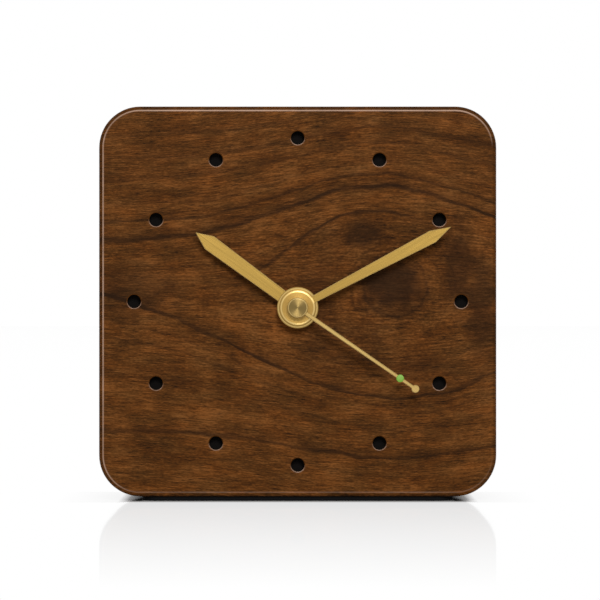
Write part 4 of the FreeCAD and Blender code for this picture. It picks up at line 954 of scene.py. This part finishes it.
class CLOCK_OT_wooden_block(bpy.types.Operator):
    """Build the walnut block with its pocket and its drilled hour marks"""

    bl_idname = "clock.wooden_block"
    bl_label = "Wooden block"

    def execute(self, context):
        sizes = context.scene.clock_block
        low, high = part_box("wooden_case")
        half = half_size("wooden_case")
        pocket_half = half_size("movement_housing")
        pocket_middle = middle("movement_housing")
        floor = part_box("rubber_washer")[0].y

        def outside(inset, y):
            return rounded_ring(half.x - inset, half.z - inset, sizes.corner_radius - inset, y, CASE_MIDDLE)

        def pocket(grow, y):
            room = sizes.pocket_gap + grow
            return rounded_ring(pocket_half.x + room, pocket_half.z + room, sizes.pocket_corner + grow, y,
                                pocket_middle)

        def bore(y):
            return rounded_ring(sizes.bore_radius, sizes.bore_radius, sizes.bore_radius, y, HUB)

        edge, broken = sizes.edge_round, sizes.pocket_rim
        front = [outside(edge - s, low.y + edge - c) for s, c in quarter_arc(edge)]
        back = [outside(edge - c, high.y - edge + s) for s, c in quarter_arc(edge)]
        rings = [bore(low.y), *front, *back, pocket(broken, high.y), pocket(0.0, high.y - broken),
                 pocket(0.0, floor), bore(floor)]
        bm = bmesh.new()
        skin(bm, rings, closed=True)
        wood = walnut()
        block = build("walnut_block", bm, [wood])
        cut_ring(block, Count=sizes.marks, Ring_Radius=sizes.ring_radius, Cut_Radius=sizes.mark_radius,
                 Cut_Depth=sizes.mark_depth, Point_Depth=sizes.mark_radius * math.tan(DRILL_POINT),
                 Rim_Width=sizes.mark_rim, Centre=CASE_MIDDLE, Body_Material=wood,
                 Cut_Material=stained_wood(), Rim_Material=rim_highlight_paint())
        settle(shade(block), "clock_case", "walnut", "wooden_case")
        return {"FINISHED"}


class CLOCK_OT_base_pad(bpy.types.Operator):
    """Build the thin black pad under the block"""

    bl_idname = "clock.base_pad"
    bl_label = "Base pad"

    def execute(self, context):
        sizes = context.scene.clock_pad
        low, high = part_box("base_pad")
        half, centre = half_size("base_pad"), middle("base_pad")
        rings = []
        for inset, z in ((sizes.edge, low.z), (0.0, low.z + sizes.edge), (0.0, high.z)):
            flat = rounded_ring(half.x - inset, half.y - inset, sizes.corner - inset, 0.0, Vector())
            rings.append([Vector((centre.x + point.x, centre.y + point.z, z)) for point in flat])
        bm = bmesh.new()
        skin(bm, rings)
        bm.verts.ensure_lookup_table()
        corners = len(rings[0])
        bm.faces.new(bm.verts[:corners])
        bm.faces.new(bm.verts[-corners:])
        rubber = moulded_plastic("pad_rubber", context.scene.clock_colours.pad, roughness=0.75, spark=0.4,
                                 Specular_IOR_Level=0.1)
        pad = build("base_pad_rubber", bm, [rubber])
        settle(shade(pad), "clock_case", frame_slot("base_pad"), "base_pad")
        return {"FINISHED"}


# ---------------------------------------------------------------- the hands and the hub

def blade(name, outline, front, back, materials, turn):
    """A flat blade from its outline, turned to its bearing. Its front edges are cut in the last material."""
    bm, corners = extruded([(HUB.x + x, HUB.z + z) for x, z in outline], back, front)
    rim = [edge for edge in bm.edges if all(vertex in corners for vertex in edge.verts)]
    bmesh.ops.bevel(bm, geom=rim, offset=BLADE_EDGE, segments=1, affect="EDGES", material=len(materials) - 1)
    about_hub = Matrix.Translation(HUB) @ Matrix.Rotation(turn, 4, "Y") @ Matrix.Translation(-HUB)
    bmesh.ops.transform(bm, matrix=about_hub, verts=bm.verts)
    return build(name, bm, materials)


def hand(node, sizes):
    """A pointed hand: a blade with cut edges, joined to a turned boss with a sloping rim."""
    name = node + "_brass"
    front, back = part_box(node)[0].y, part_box(node)[1].y
    shoulder = front + BOSS_RISE
    boss, face, bore = sizes.boss / 2, sizes.face / 2, sizes.bore / 2
    # the band over the boss's sloping rim that gets the painted highlight, in millimetres
    highlight_band = (face / MM + 0.05, boss / MM - 0.25)
    colours = bpy.context.scene.clock_colours
    metals = [
        brushed_metal(name + "_brushed", colours.brass, sizes.bearing),
        turned_metal(name + "_turned", colours.turned_brass, HUB, highlight_band, spread=0.35),
        # the cut edges get a paler tint as a painted highlight
        plain_metal(name + "_edge", colours.brass_edge_highlight, roughness=0.4),
    ]
    root = (bore + boss) / 2
    point = sizes.reach - sizes.point
    outline = [(sizes.narrow / 2, root), (sizes.broad / 2, point), (0.0, sizes.reach),
               (-sizes.broad / 2, point), (-sizes.narrow / 2, root)]
    piece = blade(name, outline, shoulder, shoulder + BLADE_SHEET, metals, sizes.bearing)
    profile = [(bore, front), (face - FACE_RING, front), (face, front), (boss, shoulder), (boss, back),
               (bore, back)]
    join(piece, lathe(name + "_boss", profile, HUB, metals, closed=True, material=1))
    settle(shade(piece), node, "brass", node)


class CLOCK_OT_hour_hand(bpy.types.Operator):
    """Build the hour hand"""

    bl_idname = "clock.hour_hand"
    bl_label = "Hour hand"

    def execute(self, context):
        hand("hour_hand", context.scene.clock_hour_hand)
        return {"FINISHED"}


class CLOCK_OT_minute_hand(bpy.types.Operator):
    """Build the minute hand"""

    bl_idname = "clock.minute_hand"
    bl_label = "Minute hand"

    def execute(self, context):
        hand("minute_hand", context.scene.clock_minute_hand)
        return {"FINISHED"}


class CLOCK_OT_seconds_hand(bpy.types.Operator):
    """Build the seconds hand with its end disc"""

    bl_idname = "clock.seconds_hand"
    bl_label = "Seconds hand"

    def execute(self, context):
        sizes = context.scene.clock_seconds_hand
        front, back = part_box("seconds_hand")[0].y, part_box("seconds_hand")[1].y
        boss, bore = sizes.boss / 2, sizes.bore / 2
        outline = [(-sizes.broad / 2, boss / 2), (sizes.broad / 2, boss / 2), *disc_outline(sizes)]
        tint = context.scene.clock_colours.pale_brass
        metals = [brushed_metal("seconds_hand_brushed", tint, sizes.bearing),
                  plain_metal("seconds_hand_edge", tint, roughness=0.4)]
        piece = blade("seconds_hand_brass", outline, front, back, metals, sizes.bearing)
        ring = [(bore, front), (boss, front), (boss, back), (bore, back)]
        join(piece, lathe("seconds_boss", ring, HUB, metals, closed=True))
        dot = half_size("lume_dot").x - DOT_INSET
        seat = [(0.0, front), (dot, front), (dot, back), (0.0, back)]
        join(piece, lathe("seconds_seat", seat, middle("lume_dot"), metals, steps=DOT_STEPS))
        settle(shade(piece), "seconds_hand", "brass", "seconds_hand")
        return {"FINISHED"}


def disc_outline(sizes, steps=32):
    """Points round the seconds hand's end disc, from its right-hand root to its left-hand one."""
    radius = sizes.disc / 2
    opening = math.asin(sizes.narrow / sizes.disc)
    start, end = -math.pi / 2 + opening, 1.5 * math.pi - opening
    angles = [start + (end - start) * step / steps for step in range(steps + 1)]
    return [(radius * math.cos(a), sizes.reach + radius * math.sin(a)) for a in angles]


class CLOCK_OT_hub_cap(bpy.types.Operator):
    """Turn the brass cap over the seconds arbor"""

    bl_idname = "clock.hub_cap"
    bl_label = "Hub cap"

    def execute(self, context):
        sizes = context.scene.clock_cap
        low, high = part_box("seconds_cap")
        radius, bore = sizes.diameter / 2, sizes.bore / 2
        edge = [(radius - inset * MM, low.y + back * MM) for inset, back in CAP_EDGE]
        end = low.y + sizes.face
        profile = [(0.0, low.y), *edge, (radius, high.y), (bore, high.y), (bore, end), (0.0, end)]
        # the band round the cap's rounded edge that gets the painted highlight, in millimetres
        highlight_band = (radius / MM - 0.27, radius / MM - 0.05)
        turned = turned_metal("cap_turned", context.scene.clock_colours.cap_brass, HUB, highlight_band,
                              roughness=0.37, spread=0.78, ring=0.07)
        settle(shade(lathe("hub_cap_brass", profile, HUB, [turned])), "seconds_hand", "brass", "seconds_cap")
        return {"FINISHED"}


class CLOCK_OT_lume_dot(bpy.types.Operator):
    """Build the luminous dot on the seconds hand"""

    bl_idname = "clock.lume_dot"
    bl_label = "Luminous dot"

    def execute(self, context):
        low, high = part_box("lume_dot")
        radius = half_size("lume_dot").x
        angles = [math.radians(90) * (1 - step / DOME_STEPS) for step in range(DOME_STEPS + 1)]
        dome = [(radius * math.cos(a), high.y - (high.y - low.y) * math.sin(a) ** DOT_DOME)
                for a in angles]
        paint = moulded_plastic("lume_paint", context.scene.clock_colours.lume, roughness=0.5, spark=0.1)
        dot = lathe("lume_dot_paint", [*dome, (0.0, high.y)], middle("lume_dot"), [paint], steps=DOT_STEPS)
        settle(shade(dot, degrees=60.0), "seconds_hand", "lume", "lume_dot")
        return {"FINISHED"}


# ---------------------------------------------------------------- the back

class CLOCK_OT_setting_knob(bpy.types.Operator):
    """Turn the setting knob and cut its grip grooves"""

    bl_idname = "clock.setting_knob"
    bl_label = "Setting knob"

    def execute(self, context):
        sizes = context.scene.clock_knob
        low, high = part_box("setting_knob")
        centre = middle("setting_knob")
        radius, rim, bore = sizes.diameter / 2, sizes.rim / 2, sizes.bore / 2
        edge, dish, end = sizes.edge, sizes.dish, low.y + sizes.bore_depth
        profile = [(0.0, high.y - dish), (rim - dish, high.y - dish), (rim, high.y), (radius - edge, high.y),
                   (radius, high.y - edge), (radius, low.y + edge), (radius - edge, low.y), (bore, low.y),
                   (bore, end), (0.0, end)]
        grip = moulded_plastic("knob_grip", (0.035, 0.036, 0.038), roughness=0.42, spark=0.2)
        knob = lathe("setting_knob_grip", profile, centre, [grip])
        start = Vector((centre.x, low.y, centre.z))
        cut_ring(knob, Count=sizes.grooves, Ring_Radius=radius, Cut_Radius=sizes.groove_radius,
                 Cut_Depth=(high.y - low.y) + OVERRUN, Point_Depth=OVERRUN, Rim_Width=sizes.groove_rim,
                 Centre=start, Body_Material=grip, Cut_Material=grip, Rim_Material=grip)
        settle(shade(knob), "setting_knob", "knob_plastic", "setting_knob")
        return {"FINISHED"}


class CLOCK_OT_cover_marks(bpy.types.Operator):
    """Raise the setting arrow and the plus and minus signs on the back cover"""

    bl_idname = "clock.cover_marks"
    bl_label = "Cover marks"

    def execute(self, context):
        sizes = context.scene.clock_marks
        low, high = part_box("movement_back_cover")
        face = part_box("movement_housing")[1].y
        plus_x, minus_x, z = high.x - sizes.inset, low.x + sizes.inset, low.z + sizes.lift
        half, thin = sizes.sign / 2, sizes.stroke / 2
        outlines = [
            arrow_outline(middle("setting_knob"), sizes.arrow_radius, thin),
            bar_outline(plus_x, z, half, thin),
            bar_outline(plus_x, z, thin, half),
            bar_outline(minus_x, z, half, thin),
        ]
        paint = moulded_plastic("mark_stamp", (0.24, 0.24, 0.25), roughness=0.5, spark=0.2)
        marks, *others = [
            build("cover_marks", extruded(outline, face - MARK_ROOT, face + sizes.height)[0], [paint])
            for outline in outlines]
        for other in others:
            join(marks, other)
        settle(shade(marks), "clock_case", frame_slot("movement_back_cover"))
        return {"FINISHED"}


def bar_outline(x, z, half_x, half_z):
    """The corners of an upright rectangle about a place."""
    left, right, bottom, top = x - half_x, x + half_x, z - half_z, z + half_z
    return [(left, bottom), (right, bottom), (right, top), (left, top)]


def arrow_outline(centre, radius, half_stroke, start=80.0, end=190.0, head=10.0, steps=24):
    """Points round a curved arrow with a head at each end, in degrees about a centre."""
    def at(distance, degrees):
        angle = math.radians(degrees)
        return centre.x + distance * math.cos(angle), centre.z + distance * math.sin(angle)

    sweep = [start + (end - start) * step / steps for step in range(steps + 1)]
    outer = [at(radius + half_stroke, degrees) for degrees in sweep]
    inner = [at(radius - half_stroke, degrees) for degrees in reversed(sweep)]
    wide = 3 * half_stroke
    end_head = [at(radius + wide, end), at(radius, end + head), at(radius - wide, end)]
    start_head = [at(radius - wide, start), at(radius, start - head), at(radius + wide, start)]
    return [*outer, *end_head, *inner, *start_head]


class CLOCK_OT_battery(bpy.types.Operator):
    """Build the battery with its sleeve, end plates and nub"""

    bl_idname = "clock.battery"
    bl_label = "Battery"

    def execute(self, context):
        low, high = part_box("battery")
        radius, axis = half_size("battery").z, middle("battery")
        sleeve = [(low.x + along * MM, radius - inset * MM) for along, inset in CELL_MINUS_END]
        sleeve += [(high.x - along * MM, radius - inset * MM) for along, inset in CELL_PLUS_END]
        minus_plate = [(sleeve[0][0], 0.0), sleeve[0]]
        nub = [(high.x - along * MM, out * MM) for along, out in CELL_NUB]
        plus_plate = [sleeve[-1], (nub[0][0], sleeve[-1][1]), *nub]
        bm = bmesh.new()
        for profile, material in ((minus_plate, 1), (sleeve, 0), (plus_plate, 1)):
            rings = [[Vector((x, axis.y + y, axis.z + z)) for y, z in circle(out)] for x, out in profile]
            skin(bm, rings, material=material)
        plate = plain_metal("cell_plate", (0.62, 0.61, 0.58), roughness=0.25)
        settle(shade(build("battery_cell", bm, [cell_sleeve(), plate])), "battery", "cell_sleeve", "battery")
        return {"FINISHED"}


class CLOCK_OT_works_finishes(bpy.types.Operator):
    """Give the frame's own parts their finishes"""

    bl_idname = "clock.works_finishes"
    bl_label = "Finishes of the works"

    def execute(self, context):
        colours = context.scene.clock_colours
        housing = moulded_plastic("housing_moulding", colours.movement, roughness=0.5, spark=0.3)
        wheel = moulded_plastic("wheel_moulding", (0.62, 0.60, 0.54), roughness=0.4, spark=0.2)
        steel = plain_metal("nickel_steel", (0.60, 0.60, 0.58))
        brass = turned_metal("fitting_brass", colours.turned_brass, HUB)
        plate = moulded_plastic("plate_moulding", (0.055, 0.057, 0.060), roughness=0.45, spark=0.3)
        rubber = moulded_plastic("washer_rubber", (0.012, 0.012, 0.012), roughness=0.75, spark=0.3)
        bobbin = moulded_plastic("bobbin_moulding", (0.60, 0.56, 0.46), roughness=0.4, spark=0.2)
        board = moulded_plastic("board_resist", (0.012, 0.10, 0.035), roughness=0.35, spark=0.5)
        resin = moulded_plastic("chip_resin_drop", (0.006, 0.006, 0.007), roughness=0.22, spark=0.8)
        finishes = {
            "movement_housing": housing,
            "movement_back_cover": housing,
            "train_plate": plate,
            "rubber_washer": rubber,
            "mounting_nut": brass,
            "threaded_bushing": brass,
            "minute_arbor": brass,
            "battery_contact_positive": steel,
            "battery_contact_negative": steel,
            "coil_core": steel,
            "stator": steel,
            "quartz_crystal": plain_metal("crystal_can", (0.72, 0.72, 0.70), roughness=0.2),
            "rotor_magnet": plain_metal("magnet_ferrite", (0.05, 0.05, 0.052), roughness=0.5),
            "coil_winding": wound_wire("winding_copper", (0.62, 0.24, 0.09)),
            "coil_bobbin": bobbin,
            "circuit_board": board,
            "chip_seal": resin,
        }
        for name in ("hour_wheel", "motion_wheel", "setting_arbor", "centre_wheel", "third_wheel",
                     "seconds_wheel", "fifth_wheel", "rotor_pinion"):
            finishes[name] = wheel
        for name, finish in finishes.items():
            for slot in frame["nodes"][name].material_slots:
                slot.material = finish
        return {"FINISHED"}


# ---------------------------------------------------------------- the stage

# how far the camera stands from the dial, how wide a view it has there and where its middle lies
CAMERA_DISTANCE = 900.0 * MM
VIEW_WIDTH = 153.3 * MM
VIEW_CENTRE_X = 0.59 * MM
VIEW_CENTRE_Z = 51.41 * MM

# the width of the camera's sensor, which is given in millimetres as its lens is
SENSOR = 36.0

# how bright the surroundings are where they only light the clock, with 1 where they are seen
SURROUNDINGS_LIGHT = 0.28

# the floor's width, and its reflection: its share at the dial and how many millimetres it fades over
FLOOR_WIDTH = 12000.0 * MM
REFLECTION_SHARE = 0.255
REFLECTION_REACH = 269.0

# each lamp's place and width in metres, and its power in watts
LAMPS = {
    "front_lamp": ((0.08, -0.92, 0.46), 0.30, 6.4),
    "back_lamp_left": ((-0.50, 0.95, 0.30), 0.50, 4.0),
    "back_lamp_right": ((0.50, 0.95, 0.30), 0.50, 4.0),
}


class CLOCK_OT_studio(bpy.types.Operator):
    """Set the pale floor, the soft light and the camera"""

    bl_idname = "clock.studio"
    bl_label = "Studio"

    def execute(self, context):
        scene = context.scene
        scene.view_settings.view_transform = "Standard"
        scene.world = scene.world or bpy.data.worlds.new("studio")
        white_surroundings(scene.world)
        build_floor()
        for name, (place, width, power) in LAMPS.items():
            soft_lamp(name, place, width, power)
        camera = bpy.data.objects.new("camera", bpy.data.cameras.new("camera"))
        camera.data.sensor_width = SENSOR
        camera.data.lens = SENSOR * CAMERA_DISTANCE / VIEW_WIDTH
        camera.data.clip_start, camera.data.clip_end = 0.01, 100.0
        camera.location = (VIEW_CENTRE_X, DIAL - CAMERA_DISTANCE, VIEW_CENTRE_Z)
        camera.rotation_euler = (math.radians(90), 0.0, 0.0)
        scene.collection.objects.link(camera)
        scene.camera = camera
        return {"FINISHED"}


def soft_lamp(name, place, width, power):
    """A soft square lamp that shines at the middle of the clock."""
    light = bpy.data.lights.new(name, "AREA")
    light.size = width
    light.energy = power
    lamp = bpy.data.objects.new(name, light)
    lamp.location = place
    lamp.rotation_euler = (CASE_MIDDLE - lamp.location).to_track_quat("-Z", "Y").to_euler()
    bpy.context.scene.collection.objects.link(lamp)


def seen_directly(tree):
    """1 where a surface is looked at, straight or by reflection, and 0 where it only lights others."""
    rays = new_node(tree, "ShaderNodeLightPath").outputs
    kinds = ("Is Camera Ray", "Is Glossy Ray", "Is Transmission Ray")
    return largest(*[Value(rays[kind]) for kind in kinds])


def white_surroundings(world):
    """White all round where it is seen, and a dimmer soft white where it lights the clock."""
    world.use_nodes = True
    tree = world.node_tree
    tree.nodes.clear()
    strength = maths("MULTIPLY_ADD", seen_directly(tree), 1.0 - SURROUNDINGS_LIGHT, SURROUNDINGS_LIGHT)
    background = add(tree, "ShaderNodeBackground", {"Color": (1.0, 1.0, 1.0), "Strength": strength})
    new_node(tree, "ShaderNodeOutputWorld", {0: background})


def floor_shadow_paint(aside, y, pad_half, back):
    """How light the floor's matt colour is near the block, a painted shadow: pale under the block's middle,
    darkest by the pad's ends, and pale again in front of and behind the block.
    """
    ends = largest(remap(aside, pad_half - 1.0, pad_half + 0.5, 0.65, 0.05),
                   remap(aside, pad_half + 0.5, pad_half + 5.0, 0.05, 0.75))
    edges = largest(remap(y, -1.0, 0.5, 0.75, 0.05), remap(y, back - 0.5, back + 1.0, 0.05, 0.75))
    return largest(ends, edges)


def floor_finish():
    """White round the clock, and a faint reflection of it that fades away in front of it."""
    material = bpy.data.materials.new("studio_floor")
    material.use_nodes = True
    tree = material.node_tree
    tree.nodes.clear()
    x, y, _ = split(millimetres_from(tree, Vector((0.0, DIAL, 0.0))))
    aside = abs(x)
    pad_half = half_size("base_pad").x / MM
    back = (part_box("wooden_case")[1].y - DIAL) / MM
    # past the block the floor glows white, soon in front and behind and more slowly to the sides
    beside = (remap(aside, pad_half + 3.5, pad_half + 6.0, 0.0, 0.85)
              + remap(aside, pad_half + 6.0, pad_half + 22.0, 0.0, 0.15))
    open_floor = largest(beside, falling(y, -6.0, -1.0), rising(y, back + 1.0, back + 6.0))
    seen = seen_directly(tree)
    # the matt floor's colour is a painted shadow, and the reflection is cut back where it is dark
    tone = floor_shadow_paint(aside, y, pad_half, back)
    matt = add(tree, "ShaderNodeBsdfDiffuse", {"Color": tone})
    glow = add(tree, "ShaderNodeEmission", {"Color": (1.0, 1.0, 1.0), "Strength": 1.0})
    white = add(tree, "ShaderNodeMixShader", {0: seen * open_floor, 1: matt, 2: glow})
    mirror = add(tree, "ShaderNodeBsdfGlossy", {"Color": (1.0, 1.0, 1.0), "Roughness": 0.05})
    near = remap(y, -REFLECTION_REACH, 0.0, 0.0, REFLECTION_SHARE)
    share = near * seen * remap(tone, 0.05, 0.6, 0.1, 1.0)
    surface = add(tree, "ShaderNodeMixShader", {0: share, 1: white, 2: mirror})
    new_node(tree, "ShaderNodeOutputMaterial", {0: surface})
    return material


def build_floor():
    """A wide flat floor at the height that the clock stands at."""
    bm = bmesh.new()
    half = FLOOR_WIDTH / 2
    corners = ((-half, -half), (half, -half), (half, half), (-half, half))
    bm.faces.new([bm.verts.new((x, y, 0.0)) for x, y in corners])
    return build("floor", bm, [floor_finish()])


OPERATORS = (
    CLOCK_OT_wooden_block,
    CLOCK_OT_base_pad,
    CLOCK_OT_hour_hand,
    CLOCK_OT_minute_hand,
    CLOCK_OT_seconds_hand,
    CLOCK_OT_hub_cap,
    CLOCK_OT_lume_dot,
    CLOCK_OT_setting_knob,
    CLOCK_OT_cover_marks,
    CLOCK_OT_battery,
    CLOCK_OT_works_finishes,
    CLOCK_OT_studio,
)


class CLOCK_PT_builder(bpy.types.Panel):
    """Lists the clock's settings and builders"""

    bl_idname = "CLOCK_PT_builder"
    bl_label = "Walnut desk clock"
    bl_space_type = "VIEW_3D"
    bl_region_type = "UI"
    bl_category = "Clock"

    def draw(self, context):
        for group in GROUPS:
            box = self.layout.box()
            settings = getattr(context.scene, group)
            for name in settings.__annotations__:
                box.prop(settings, name)
        for operator in OPERATORS:
            self.layout.operator(operator.bl_idname)


def register():
    for cls in (*GROUPS.values(), *OPERATORS, CLOCK_PT_builder):
        bpy.utils.register_class(cls)
    for name, group in GROUPS.items():
        setattr(bpy.types.Scene, name, bpy.props.PointerProperty(type=group))


def unregister():
    for name in GROUPS:
        delattr(bpy.types.Scene, name)
    for cls in (CLOCK_PT_builder, *reversed(OPERATORS), *GROUPS.values()):
        bpy.utils.unregister_class(cls)


def main():
    """Builds the clock and its stage."""
    register()
    for operator in OPERATORS:
        group, name = operator.bl_idname.split(".")
        getattr(getattr(bpy.ops, group), name)()


if __name__ == "__main__":
    main()
